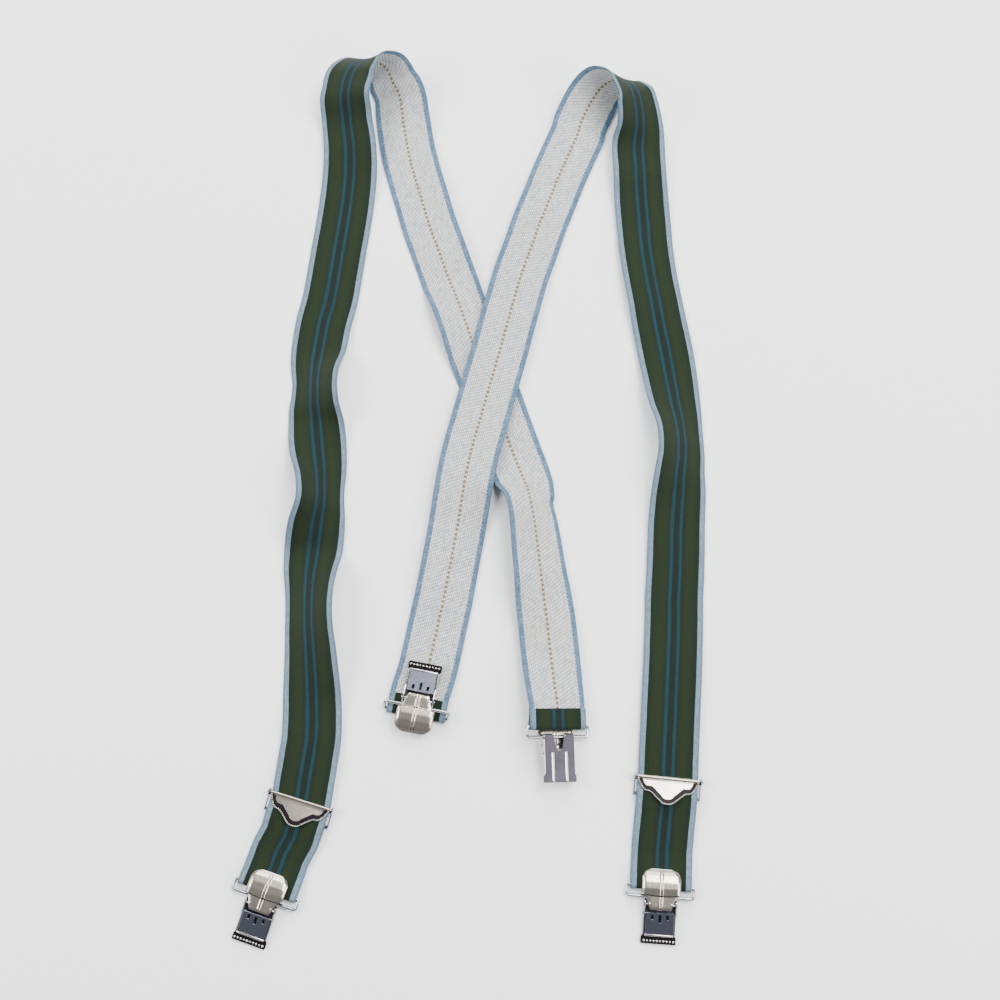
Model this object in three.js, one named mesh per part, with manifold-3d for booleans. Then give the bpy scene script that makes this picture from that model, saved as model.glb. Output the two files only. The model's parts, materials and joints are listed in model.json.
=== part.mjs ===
// Trouser braces laid flat: two woven straps crossing at the back, a bat-wing length adjuster on each
// front, and four over-centre trouser clips. Millimetres, +Z up, +Y towards the shoulder loops.
import * as THREE from "three";
import { mergeVertices } from "three/addons/utils/BufferGeometryUtils.js";
import Module from "manifold-3d";

// ---- driving dimensions ----
const WEB_WIDTH = 37;
const WEB_THICKNESS = 1.2;
const GAP = 0.3;
const LAYER_Z = WEB_THICKNESS / 2; // middle of a webbing layer lying on the table
const UNDER_ADJUSTER_Z = 3.2; // middle of the strap where it runs through an adjuster

const RING_WIRE_RADIUS = 0.95;
const RING_HALF_WIDTH = 20.2;
const RING_BAR_SPACING = 6.5;
const RING_CORNER = 2;
const FOLD_RADIUS = 1.8; // middle of the webbing where it turns round a ring bar

const CLIP_BACK_HALF_WIDTH = 9.6;
const CLIP_LENGTH = 27.1;
const EYE_RADIUS = 2.1;
const EYE_BORE = 1.2;
const PLATE_BACK = -2.3;
const PLATE_FRONT = -1.4;
const LEVER_PIVOT = { y: -4.2, z: 3.0 };
const JAW_PIVOT = { y: -9.5, z: 0.6 };
const LEVER_PIN_RADIUS = 0.7;
const JAW_PIN_RADIUS = 0.6;
const CLIP_PIN_HALF_LENGTH = 10.2;
const SHEET_METAL = 0.8;

const ADJUSTER_HALF_WIDTH = 20.4;
const ADJUSTER_TAIL_BAR_Y = -11.5;
const ADJUSTER_PIN = { y: -1.0, z: 5.2, radius: 0.45 };

const wasm = await Module();
wasm.setup();

const radians = THREE.MathUtils.degToRad;
const braces = new THREE.Group();

// ---- finishes ----
const finish = (color, roughness, metalness) => new THREE.MeshStandardMaterial({ color, roughness, metalness });
const WEBBING = finish(0x32461e, 0.85, 0);
const NICKEL = finish(0xb9b7b0, 0.3, 1);
const DARK_NICKEL = finish(0x6b6a68, 0.25, 1);
const STEEL = finish(0xa8a9ab, 0.35, 1);

// ---- solids: closed geometry to manifold and back ----
function solid(geometry) {
  const bare = geometry.clone();
  bare.deleteAttribute("normal");
  bare.deleteAttribute("uv");
  const merged = mergeVertices(bare, 1e-4);
  return new wasm.Manifold(
    new wasm.Mesh({
      numProp: 3,
      vertProperties: new Float32Array(merged.attributes.position.array),
      triVerts: new Uint32Array(merged.index.array),
    }),
  );
}

function geometryOf(manifold) {
  const mesh = manifold.getMesh();
  const geometry = new THREE.BufferGeometry();
  geometry.setAttribute("position", new THREE.BufferAttribute(new Float32Array(mesh.vertProperties), 3));
  geometry.setIndex(new THREE.BufferAttribute(new Uint32Array(mesh.triVerts), 1));
  geometry.computeVertexNormals();
  return geometry;
}

const union = (parts) => parts.reduce((all, part) => all.add(part));

// A box between two corners.
function block(low, high) {
  const size = low.map((value, axis) => high[axis] - value);
  const geometry = new THREE.BoxGeometry(...size);
  geometry.translate(...low.map((value, axis) => value + size[axis] / 2));
  return solid(geometry);
}

// A round bar along X between x0 and x1, centred on (y, z).
function barAlongX(radius, x0, x1, y, z, sides = 12) {
  const geometry = new THREE.CylinderGeometry(radius, radius, x1 - x0, sides);
  geometry.rotateZ(Math.PI / 2);
  geometry.translate((x0 + x1) / 2, y, z);
  return solid(geometry);
}

// A bore along X at { y, z }, longer than anything that it goes through.
function boreAlongX(radius, { y, z }, sides = 12) {
  const reach = 22;
  return barAlongX(radius, -reach, reach, y, z, sides);
}

// A flat plate with its outline in X and Y, from z0 up to z1.
function plate(outline, z0, z1) {
  const depth = z1 - z0;
  const geometry = new THREE.ExtrudeGeometry(outline, { depth, bevelEnabled: false, curveSegments: 4 });
  geometry.translate(0, 0, z0);
  return solid(geometry);
}

// A wall with its outline in Y and Z, from x0 to x1.
function wall(outline, x0, x1) {
  const geometry = new THREE.ExtrudeGeometry(outline, { depth: x1 - x0, bevelEnabled: false });
  // Extruded along Z with the outline in X and Y: turn X to Y, Y to Z and Z to X.
  geometry.applyMatrix4(new THREE.Matrix4().makeBasis(
    new THREE.Vector3(0, 1, 0), new THREE.Vector3(0, 0, 1), new THREE.Vector3(1, 0, 0)));
  geometry.translate(x0, 0, 0);
  return solid(geometry);
}

function outlineOf(points) {
  return new THREE.Shape(points.map(([a, b]) => new THREE.Vector2(a, b)));
}

// ---- webbing ----
// A station is the middle of the webbing and the unit vector across it, pointing right. The outer, patterned
// face is across x direction of travel. Squared stations carry their travel too, with across square to it.
function squared(stations) {
  const last = stations.length - 1;
  return stations.map(({ centre, across }, i) => {
    const before = stations[Math.max(i - 1, 0)].centre;
    const after = stations[Math.min(i + 1, last)].centre;
    const travel = after.clone().sub(before).normalize();
    return { centre, travel, across: across.clone().addScaledVector(travel, -across.dot(travel)).normalize() };
  });
}

// The webbing from one squared station to another, drawn in by half the gap where it is cut from the rest.
function cutRun(run, first, last) {
  const drawn = (station, distance) => (
    { ...station, centre: station.centre.clone().addScaledVector(station.travel, distance) });
  const part = run.slice(first, last + 1);
  if (first > 0) {
    part[0] = drawn(part[0], GAP / 2);
  }
  if (last < run.length - 1) {
    part[part.length - 1] = drawn(part[part.length - 1], -GAP / 2);
  }
  return part;
}

// The closed solid of the webbing through squared stations.
function ribbon(run) {
  const half = WEB_WIDTH / 2;
  const corners = [[-half, -LAYER_Z], [half, -LAYER_Z], [half, LAYER_Z], [-half, LAYER_Z]];
  const positions = [];
  for (const { centre, across, travel } of run) {
    const normal = across.clone().cross(travel);
    // What would dip into the table is raised until its lower edge just touches.
    const lowest = centre.z - half * Math.abs(across.z) - LAYER_Z * Math.abs(normal.z);
    const lift = Math.max(-lowest, 0);
    for (const [a, n] of corners) {
      const corner = centre.clone().addScaledVector(across, a).addScaledVector(normal, n);
      positions.push(corner.x, corner.y, corner.z + lift);
    }
  }
  const last = run.length - 1;
  const index = [0, 1, 2, 0, 2, 3];
  for (let i = 0; i < last; i++) {
    for (let k = 0; k < 4; k++) {
      const p0 = 4 * i + k;
      const p1 = 4 * i + ((k + 1) % 4);
      // The outer face is split along the same diagonal as the inner one, so a twist keeps the thickness.
      if (k === 2) {
        index.push(p0, p0 + 4, p1, p0 + 4, p1 + 4, p1);
      } else {
        index.push(p0, p0 + 4, p1 + 4, p0, p1 + 4, p1);
      }
    }
  }
  const end = 4 * last;
  index.push(end, end + 2, end + 1, end, end + 3, end + 2);
  const geometry = new THREE.BufferGeometry();
  geometry.setAttribute("position", new THREE.Float32BufferAttribute(positions, 3));
  geometry.setIndex(index);
  geometry.computeVertexNormals();
  return geometry;
}

// Direction across the webbing: turned azimuth degrees from +X, its right edge raised by lean degrees.
function acrossVector(azimuth, lean) {
  const level = Math.cos(radians(lean));
  return new THREE.Vector3(
    level * Math.cos(radians(azimuth)), level * Math.sin(radians(azimuth)), Math.sin(radians(lean)));
}

// Stations of webbing on the table: x, y, azimuth, lean and how high its lower edge is lifted.
const laid = (rows) => rows.map(([x, y, azimuth, lean, lift]) => ({
  centre: new THREE.Vector3(x, y, LAYER_Z + lift + (WEB_WIDTH / 2) * Math.abs(Math.sin(radians(lean)))),
  across: acrossVector(azimuth, lean),
}));

// Stations in the air: x, y, z, azimuth and lean.
const raised = (rows) => rows.map(([x, y, z, azimuth, lean]) => ({
  centre: new THREE.Vector3(x, y, z),
  across: acrossVector(azimuth, lean),
}));

// Smooth run through the stations, with extra ones between them.
function smooth(stations, steps = 2) {
  const curves = ["centre", "across"].map(
    (key) => new THREE.CatmullRomCurve3(stations.map((s) => s[key]), false, "catmullrom", 0.5));
  const count = (stations.length - 1) * steps;
  return Array.from({ length: count + 1 }, (_, i) => ({
    centre: curves[0].getPoint(i / count),
    across: curves[1].getPoint(i / count),
  }));
}

// ---- places on the table, before the whole is centred on its base ----
// A place is a point and the frame of the metalwork there: right (x), up the strap (y), outer face (z).
function place(origin, across, up) {
  const outer = across.clone().cross(up).normalize();
  const matrix = new THREE.Matrix4().makeBasis(across, up, outer).setPosition(origin);
  const at = (x, y, z) => new THREE.Vector3(x, y, z).applyMatrix4(matrix);
  return { origin, across, up, outer, matrix, at };
}

function levelPlace(x, y, z, azimuth) {
  const across = acrossVector(azimuth, 0);
  return place(new THREE.Vector3(x, y, z), across, new THREE.Vector3(-across.y, across.x, 0));
}

const ARC_STEPS = 6;

// Half circle in the plane of up and outer, round (y, z), from angle a0 to a1 degrees (90 is outer).
function arc(radius, y, z, a0, a1) {
  return Array.from({ length: ARC_STEPS + 1 }, (_, i) => {
    const angle = radians(a0 + ((a1 - a0) * i) / ARC_STEPS);
    return [y + radius * Math.cos(angle), z + radius * Math.sin(angle)];
  });
}

const FRONT_BAR_Z = 2.95; // height of the upper ring bar of a front clip
const fronts = {
  left: {
    adjuster: levelPlace(-120.8, -187.0, 0, -17),
    bar: levelPlace(-139.8, -239.6, FRONT_BAR_Z, -18.8),
  },
  right: {
    adjuster: levelPlace(102.8, -173.8, 0, -5.7),
    bar: levelPlace(96.7, -237.9, FRONT_BAR_Z, -4.1),
  },
};

// The back straps travel down the table with the outer face underneath, so their clips face down.
function backPlace(x, y, z, azimuth, lean) {
  const up = new THREE.Vector3(-Math.sin(radians(azimuth)), Math.cos(radians(azimuth)), 0);
  return place(new THREE.Vector3(x, y, z), acrossVector(azimuth, lean).negate(), up);
}

// The right back clip lies folded over on top of its strap.
const backs = {
  left: { bar: backPlace(35.1, -143.3, 9.6, 1.5, -20), ringTurn: 0, clipTurn: 0 },
  right: { bar: backPlace(-51.9, -135.6, 2.4, -11, 0), ringTurn: 130, clipTurn: 50 },
};

// ---- strap routes: front bottom, up the front, over the shoulder loop, down the back ----
const LEFT_FRONT = [
  [-120.6, -185.2, -12, 0, 2.6], [-118.8, -172, -8, 0, 2.6],
  [-117.0, -159, -8, 0, 2.6], [-116.0, -151, -6, 0, 2.6], [-115.8, -140, -1, 2, 1.5],
  [-116.2, -127, 2, 6, 0.3], [-116.8, -112, 3, 16, 0], [-117.6, -97, 4, 24, 0], [-118.8, -82, 3, 30, 0],
  [-119.2, -66, 0, 31, 0], [-119.0, -50, -3, 22, 0.5], [-118.3, -34, -4, 0, 2], [-116.0, -18, -5, -22, 1],
  [-113.5, -3, -1, -42, 0], [-114.0, 13, 4, -38, 0], [-116.6, 31, 5, -15, 0.5], [-118.6, 49, 4, 8, 1],
  [-119.6, 64, 2, 28, 0], [-119.4, 81, -4, 30, 0], [-118.4, 100, -7, 8, 0.5], [-116.0, 118, -10, 2, 1],
  [-112.3, 135, -10, 0, 0.5], [-109.7, 153, -8, 0, 0.3], [-107.4, 170, -8, 0, 0.3],
  [-104.8, 188, -7, 0, 0.5], [-102.6, 206, -5, 0, 1], [-101.0, 224, -2, 4, 2], [-101.0, 241, 1, 12, 3.5],
];
const LEFT_LOOP = [
  [-103.0, 259, 11.5, 0, 20], [-103.4, 271.5, 22, 0, 25], [-101.0, 283.5, 24.5, -10, 20],
  [-96.5, 292.5, 24, -13, 25], [-88, 298.5, 21, -11, 29], [-77.5, 296.5, 15, -8, 33],
  [-72.2, 287, 10, 0, 25], [-67.8, 278, 6.5, 1, 17], [-65.8, 263.5, 3.3, 3.5, 8],
];
const LEFT_BACK = [
  [-62.4, 242.5, 12, 2, 0.3], [-57.4, 222, 15, 5, 0.3], [-52.4, 205, 16, 6, 0.3], [-47.2, 187, 18, 6, 0.3],
  [-40.9, 169, 20, 8, 0.3], [-34.5, 151, 21, 4, 0.3], [-27.9, 133, 20, -12, 0.3], [-21.6, 115, 19, -13, 0.3],
  [-15.8, 98, 19, -4, 0.3], [-9.8, 82, 19, 0, 0.3], [-3.6, 65, 19, 0, 0.3], [2.2, 48, 19, 0, 0.3],
  [8.2, 31, 18, 0, 0.2], [11.6, 22, 17, -3, 0.1], [14.9, 13, 16, -10, 0], [17.4, 5, 14, -25, 0],
  [19.2, -4, 12, -37, 0], [21.8, -19, 8, -33, 0], [23.6, -34, 7, -28, 0.5], [25.6, -50, 7, -24, 1],
  [27.5, -65, 6, -14, 1.5], [29.4, -80, 6, -8, 2], [31.0, -96, 5, -8, 2.5], [32.7, -112, 4, -12, 3.2],
];
const RIGHT_FRONT = [
  [102.9, -171.5, -4.4, 0, 2.6], [103.8, -157, -4, 0, 2.6],
  [104.9, -142, -4, 0, 2.6], [105.9, -127, -4, 0, 2.6], [107.0, -112, -4, 0, 2.6], [108.0, -97, -3, -1, 1.8],
  [109.0, -80, -3, -1, 0.8], [109.6, -64, -3, -2, 0.4], [110.8, -48, -3, -3, 0.3], [111.6, -33, -4, -4, 0.3],
  [112.3, -17, -4, -6, 0.3], [113.6, 0, -5, -12, 0.3], [114.6, 15, -5, -24, 0.2], [116.0, 30, -2, -31, 0],
  [115.1, 47, 6, -31, 0], [112.6, 64, 9, -19, 0.3], [110.4, 82, 9, -9, 0.8], [107.9, 100, 9, -3, 1.2],
  [104.9, 117, 9, -5, 0.8], [102.2, 134, 9, -9, 0.4], [99.4, 151, 8, -9, 0.4], [97.2, 169, 6, -7, 0.5],
  [96.0, 188, 4, -4, 0.8], [94.8, 206, 3, -5, 1.5], [93.9, 224, 1, -10, 3], [93.3, 242, -2, -10, 3],
];
const RIGHT_LOOP = [
  [94, 255.4, 13, 6, -29], [92, 267.7, 19.5, 16, -35], [89, 275.5, 23, 14, -39], [82, 283.2, 22.5, 2, -39],
  [74.5, 285, 17.5, -5, -37], [67.2, 281.5, 12.3, -12, -28], [60.9, 273, 7.3, -17, -18],
  [54.8, 260.7, 3.8, -21, -10],
];
const RIGHT_BACK = [
  [52.3, 252, -20, -7, 0.5], [47.0, 240, -20, -4, 0.4], [39.8, 223, -21, -5, 0.3], [32.6, 204, -20, -8, 0.3],
  [26.1, 187, -19, -8, 0.6], [20.2, 169, -19, -10, 1.2], [14.0, 151, -17, -9, 2.2], [8.9, 133, -16, -6, 3],
  [4.4, 116, -15, -3, 3.6], [-0.3, 98, -15, -2, 3.6], [-5.0, 81, -15, -3, 3.4], [-9.6, 64, -15, -5, 3.6],
  [-14.2, 47, -15, -5, 4.5], [-18.4, 31, -13, -5, 5.8], [-21.7, 15, -10, -5, 6.8], [-24.4, -1, -9, -7, 4.4],
  [-27.1, -18, -10, -9, 1.2], [-29.9, -34, -10, -11, 0.4], [-32.8, -50, -10, -10, 0.3],
  [-35.6, -65, -11, -7, 0.3], [-38.9, -80, -12, -3, 0.3], [-42.2, -96, -12, -3, 0.6],
  [-45.4, -110, -11, -1, 1.6],
];

const HEM_END = 10.6;

// The last of a strap: level with the ring bar, over it on the outer side, round it, and back as a hem.
function backEnd(bar) {
  const across = bar.across.clone().negate();
  const station = ([y, z]) => ({ centre: bar.at(0, y, z), across });
  const settled = FOLD_RADIUS - WEB_THICKNESS - GAP; // the hem lies this far under the main layer's middle
  const approach = [[14, -settled], [HEM_END, -settled], [7.5, -0.2], [3.5, 1.2]];
  const fold = arc(FOLD_RADIUS, 0, 0, 90, 270);
  const hem = [[5, -FOLD_RADIUS], [HEM_END, -FOLD_RADIUS]];
  return [...approach, ...fold, ...hem].map(station);
}

const SHOULDER_Y = 205; // a strap is in three solids: its shoulder loop lies beyond this

// The front, shoulder and back solids of a strap.
function strap(adjuster, front, loop, back, bar) {
  const [end, start] = [-6, -3].map(
    (y) => ({ centre: adjuster.at(0, y, UNDER_ADJUSTER_Z), across: adjuster.across }));
  const [approach, ...fold] = backEnd(bar);
  const route = smooth([start, ...laid(front), ...raised(loop), ...laid(back), approach]);
  const run = squared([end, ...route, ...fold]);
  const enters = run.findIndex(({ centre }) => centre.y > SHOULDER_Y);
  const leaves = run.findLastIndex(({ centre }) => centre.y > SHOULDER_Y);
  return {
    front: ribbon(cutRun(run, 0, enters)),
    shoulder: ribbon(cutRun(run, enters, leaves)),
    back: ribbon(cutRun(run, leaves, run.length - 1)),
  };
}

// The doubled lower webbing: from the strap's end over the tail bar, down to the ring bar, round it, and
// back underneath to the tail bar, which it wraps with a short hem.
function frontLoop({ adjuster, bar }) {
  const near = (at, rise) => ([y, z]) => ({ centre: at.at(0, y, z - rise), across: at.across });
  const byAdjuster = near(adjuster, 0);
  const byBar = near(bar, FRONT_BAR_Z);
  const tailRadius = 1.3;
  const tailTurn = ADJUSTER_TAIL_BAR_Y + 1;
  const frontTop = [
    [-6 - GAP, UNDER_ADJUSTER_Z], [-7.6, 3.65], [-9, 4.3], [-10.5, 4.75], [-12.5, 4.75],
    [-16, 4.25], [-20, 3.8], [-23.5, 3.2],
  ];
  const frontFoot = [[22, 2.1], [16, 2.1], [8, 3.4], [4, 4.4]];
  const fold = arc(FOLD_RADIUS, 0, 0, 90, 270).map(([y, z]) => [y, z + FRONT_BAR_Z]);
  const backFoot = [[6, 0.85], [14, LAYER_Z], [24, LAYER_Z]];
  const backTop = [[-22, LAYER_Z], [-14, LAYER_Z]];
  const tail = arc(tailRadius, 0, LAYER_Z + tailRadius, -90, 90).map(([y, z]) => [tailTurn + y, z]);
  const hem = [[-12.5, 3.2], [-16, 2.25], [-18, 2.1], [-20.3, 2.1]];
  return ribbon(squared([
    ...frontTop.map(byAdjuster), ...[...frontFoot, ...fold, ...backFoot].map(byBar),
    ...[...backTop, ...tail, ...hem].map(byAdjuster),
  ]));
}

// ---- ring: closed wire rectangle with round corners, its two bars along X ----
function ringGeometry() {
  const wireSides = 6;
  const cornerSteps = 3;
  const path = [];
  const corners = [[1, 1, 0], [-1, 1, 90], [-1, 0, 180], [1, 0, 270]];
  for (const [side, top, start] of corners) {
    const cx = side * (RING_HALF_WIDTH - RING_CORNER);
    const cy = top ? RING_BAR_SPACING - RING_CORNER : RING_CORNER;
    for (let i = 0; i <= cornerSteps; i++) {
      const angle = radians(start + (90 * i) / cornerSteps);
      path.push({ x: cx + RING_CORNER * Math.cos(angle), y: cy + RING_CORNER * Math.sin(angle), angle });
    }
  }
  const positions = [];
  for (const point of path) {
    for (let k = 0; k < wireSides; k++) {
      const turn = (2 * Math.PI * (k + 0.5)) / wireSides;
      const out = RING_WIRE_RADIUS * Math.cos(turn);
      positions.push(point.x + out * Math.cos(point.angle));
      positions.push(point.y + out * Math.sin(point.angle));
      positions.push(RING_WIRE_RADIUS * Math.sin(turn));
    }
  }
  const index = [];
  const next = (value, count) => (value + 1) % count;
  for (let i = 0; i < path.length; i++) {
    for (let k = 0; k < wireSides; k++) {
      const a = i * wireSides + k;
      const b = next(i, path.length) * wireSides + k;
      const c = next(i, path.length) * wireSides + next(k, wireSides);
      const d = i * wireSides + next(k, wireSides);
      index.push(a, b, c, a, c, d);
    }
  }
  const geometry = new THREE.BufferGeometry();
  geometry.setAttribute("position", new THREE.Float32BufferAttribute(positions, 3));
  geometry.setIndex(index);
  geometry.computeVertexNormals();
  return geometry;
}

// ---- clip pieces, in the clip's frame: origin on the lower ring bar, +Y up the strap, +Z outwards ----
function clipBase() {
  const backPlate = outlineOf([
    [CLIP_BACK_HALF_WIDTH, 0], [3.7, 0], [1.7, -8.6], [-1.7, -8.6], [-3.7, 0], [-CLIP_BACK_HALF_WIDTH, 0],
    [-CLIP_BACK_HALF_WIDTH, -22.9], [-10.4, -22.9], [-10.4, -CLIP_LENGTH], [10.4, -CLIP_LENGTH], [10.4, -22.9],
    [CLIP_BACK_HALF_WIDTH, -22.9],
  ]);
  const side = outlineOf([
    [-1.2, PLATE_BACK], [-1.2, 2.6], [-2.4, 4.6], [-6, 4.6],
    [-8.5, 3.1], [-12, 1.2], [-22, 0.6], [-22, PLATE_BACK],
  ]);
  const parts = [
    plate(backPlate, PLATE_BACK, PLATE_FRONT),
    wall(side, 9.0, 9.8),
    wall(side, -9.8, -9.0),
    barAlongX(EYE_RADIUS, 4, CLIP_BACK_HALF_WIDTH, 0, 0),
    barAlongX(EYE_RADIUS, -CLIP_BACK_HALF_WIDTH, -4, 0, 0),
    block([-10.4, -CLIP_LENGTH, PLATE_FRONT - 0.1], [10.4, -22.9, -0.2]),
  ];
  for (const x of [-4.4, 4.4]) {
    parts.push(block([x - 0.9, -CLIP_LENGTH, PLATE_BACK - 0.6], [x + 0.9, -9, PLATE_BACK + 0.1]));
  }
  const toothPitch = 3.6;
  const tooth = outlineOf([[-24.4, -0.4], [-25.2, 0.8], [-26.9, -0.4]]);
  for (let i = -2; i <= 2; i++) {
    parts.push(wall(tooth, i * toothPitch - 0.8, i * toothPitch + 0.8));
  }
  const bore = boreAlongX(EYE_BORE, { y: 0, z: 0 });
  const leverBore = boreAlongX(LEVER_PIN_RADIUS + GAP, LEVER_PIVOT);
  const jawBore = boreAlongX(JAW_PIN_RADIUS + GAP, JAW_PIVOT);
  return geometryOf(union(parts).subtract(bore).subtract(leverBore).subtract(jawBore));
}

function clipLever() {
  // Section along the strap: the pressed tongue, then the dome that curves down at its tip.
  const domeStart = 1.2;
  const top = [[domeStart, 4.8], [5, 5.2], [9, 5.0], [13, 3.9], [16.3, 1.9]];
  const inner = [[15.9, 1.1], [12.6, 3.0], [8.8, 4.0], [5, 4.3], [domeStart, 3.9]];
  const domeSection = outlineOf([...top, ...inner]);
  const domeOutline = new THREE.Shape();
  domeOutline.moveTo(-11.6, domeStart);
  domeOutline.lineTo(11.6, domeStart);
  domeOutline.lineTo(11.6, 10.3);
  domeOutline.absellipse(5.6, 10.3, 6, 6, 0, Math.PI / 2, false, 0);
  domeOutline.lineTo(-5.6, 16.3);
  domeOutline.absellipse(-5.6, 10.3, 6, 6, Math.PI / 2, Math.PI, false, 0);
  const dome = wall(domeSection, -11.6, 11.6).intersect(plate(domeOutline, 0, 8));
  const tongueOutline = outlineOf([
    [-9.4, domeStart + 0.2], [-6.3, -7.3], [6.3, -7.3], [9.4, domeStart + 0.2],
  ]);
  const tongue = plate(tongueOutline, 3.9, 3.9 + SHEET_METAL);
  const parts = [dome, tongue];
  for (const x of [-7.0, 6.2]) {
    parts.push(barAlongX(2.0, x, x + SHEET_METAL, LEVER_PIVOT.y, LEVER_PIVOT.z));
  }
  const bore = boreAlongX(LEVER_PIN_RADIUS + GAP, LEVER_PIVOT);
  return geometryOf(union(parts).subtract(bore));
}

function clipJaw() {
  const top = { y: -8.9, z: 3.3 };
  const foot = { y: -21.6, z: 1.7 };
  const section = outlineOf([
    [top.y, top.z], [top.y, top.z - SHEET_METAL], [foot.y, foot.z - SHEET_METAL], [foot.y, foot.z],
  ]);
  const parts = [wall(section, -8.6, 8.6), barAlongX(0.85, -8.6, 8.6, -22, 0.95)];
  const ear = outlineOf([[-8.9, 3.0], [-8.4, 0.6], [-10.6, 0.6], [-12.4, 2.4]]);
  for (const x of [-8.2, 7.4]) {
    parts.push(wall(ear, x, x + SHEET_METAL));
    parts.push(barAlongX(1.6, x, x + SHEET_METAL, JAW_PIVOT.y, JAW_PIVOT.z));
  }
  let jaw = union(parts);
  const slots = [[-4.6, 2.6], [0, 4.4], [4.6, 2.6]];
  for (const [x, length] of slots) {
    jaw = jaw.subtract(block([x - 0.75, -10.2 - length, 1.8], [x + 0.75, -10.2, 4]));
  }
  const bore = boreAlongX(JAW_PIN_RADIUS + GAP, JAW_PIVOT);
  return geometryOf(jaw.subtract(bore));
}

// ---- adjuster pieces, in the adjuster's frame: origin under the middle of the cover's top edge ----
function adjusterFrame() {
  const z0 = 1.5;
  const z1 = z0 + SHEET_METAL;
  const rail = 0.7;
  const parts = [
    block([-ADJUSTER_HALF_WIDTH, -3, z0], [ADJUSTER_HALF_WIDTH, -0.5, z1]),
    block([-ADJUSTER_HALF_WIDTH, -12.5, z0], [ADJUSTER_HALF_WIDTH, -10.5, z1]),
  ];
  const tab = outlineOf([[-3.4, z0], [-3.4, 5.6], [-2.4, 6.3], [0.1, 6.3], [0.8, 5.6], [0.8, z0]]);
  for (const x of [-ADJUSTER_HALF_WIDTH, ADJUSTER_HALF_WIDTH - rail]) {
    parts.push(block([x, -12.5, z0], [x + rail, 0.8, z1]));
    parts.push(wall(tab, x, x + rail));
  }
  const bore = boreAlongX(ADJUSTER_PIN.radius + GAP, ADJUSTER_PIN, 8);
  return geometryOf(union(parts).subtract(bore));
}

function adjusterCover() {
  // The plate leans out a little towards its point, over the doubled webbing below the frame.
  const section = outlineOf([
    [0, 4.6], [0, 5.4], [-3, 5.4], [-10, 6.6], [-16.6, 7.6], [-16.6, 6.8], [-10, 5.8], [-3, 4.6],
  ]);
  const point = [0, -16.6];
  const half = [[18.8, 0], [18.2, -2.6], [15.8, -7.6], [13.6, -9.5], [10.2, -9.9], [6.2, -13.6], [3.2, -16.0]];
  const otherHalf = half.map(([x, y]) => [-x, y]).reverse();
  const outline = outlineOf([...half, point, ...otherHalf]);
  const body = wall(section, -18.8, 18.8).intersect(plate(outline, 0, 9));
  const barrel = barAlongX(1.0, -18.8, 18.8, ADJUSTER_PIN.y, ADJUSTER_PIN.z);
  const bore = boreAlongX(ADJUSTER_PIN.radius + GAP, ADJUSTER_PIN, 8);
  return geometryOf(body.add(barrel).subtract(bore));
}

const ADJUSTER_PIN_HALF_LENGTH = 21.2;

// A plain pin along X, centred.
const pinAlongX = (radius, half, { y, z }, sides) => geometryOf(barAlongX(radius, -half, half, y, z, sides));

const adjusterPin = () => pinAlongX(ADJUSTER_PIN.radius, ADJUSTER_PIN_HALF_LENGTH, ADJUSTER_PIN, 8);

const clipPin = (radius, pivot) => pinAlongX(radius, CLIP_PIN_HALF_LENGTH, pivot, 10);

// ---- assembly ----
function add(name, geometry, material, parent = braces) {
  const mesh = new THREE.Mesh(geometry, material);
  mesh.name = name;
  parent.add(mesh);
  return mesh;
}

// A nested group standing on a place.
function groupAt(at) {
  const group = new THREE.Group();
  group.matrixAutoUpdate = false;
  group.matrix.copy(at.matrix);
  braces.add(group);
  return group;
}

// A ring hangs from its upper bar, and the clip from the ring's lower bar.
function addClip(name, { bar, ringTurn = 0, clipTurn = 0 }) {
  const hung = groupAt(bar);
  const ringGroup = new THREE.Group();
  ringGroup.rotation.x = radians(ringTurn);
  hung.add(ringGroup);
  const ring = add(`${name}_ring`, ringGeometry(), STEEL, ringGroup);
  ring.position.y = -RING_BAR_SPACING;
  const clipGroup = new THREE.Group();
  clipGroup.position.y = -RING_BAR_SPACING;
  clipGroup.rotation.x = radians(clipTurn);
  ringGroup.add(clipGroup);
  add(`${name}_clip_base`, clipBase(), NICKEL, clipGroup);
  add(`${name}_clip_lever`, clipLever(), NICKEL, clipGroup);
  add(`${name}_clip_jaw`, clipJaw(), DARK_NICKEL, clipGroup);
  add(`${name}_lever_pin`, clipPin(LEVER_PIN_RADIUS, LEVER_PIVOT), STEEL, clipGroup);
  add(`${name}_jaw_pin`, clipPin(JAW_PIN_RADIUS, JAW_PIVOT), STEEL, clipGroup);
}

function addAdjuster(side, { adjuster }) {
  const group = groupAt(adjuster);
  add(`${side}_adjuster_frame`, adjusterFrame(), DARK_NICKEL, group);
  add(`${side}_adjuster_cover`, adjusterCover(), NICKEL, group);
  add(`${side}_adjuster_pin`, adjusterPin(), STEEL, group);
}

const straps = {
  left: strap(fronts.left.adjuster, LEFT_FRONT, LEFT_LOOP, LEFT_BACK, backs.left.bar),
  right: strap(fronts.right.adjuster, RIGHT_FRONT, RIGHT_LOOP, RIGHT_BACK, backs.right.bar),
};
for (const side of ["left", "right"]) {
  for (const [part, geometry] of Object.entries(straps[side])) {
    add(`${side}_strap_${part}`, geometry, WEBBING);
  }
  add(`${side}_front_loop`, frontLoop(fronts[side]), WEBBING);
  addAdjuster(side, fronts[side]);
  addClip(`${side}_front`, fronts[side]);
  addClip(`${side}_back`, backs[side]);
}

// Origin under the middle of the whole, on the table.
braces.updateMatrixWorld(true);
const bounds = new THREE.Box3().setFromObject(braces, true);
const middle = bounds.getCenter(new THREE.Vector3());
const object = new THREE.Group();
object.position.set(-middle.x, -middle.y, -bounds.min.z);
object.add(braces);

export default object;
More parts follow.
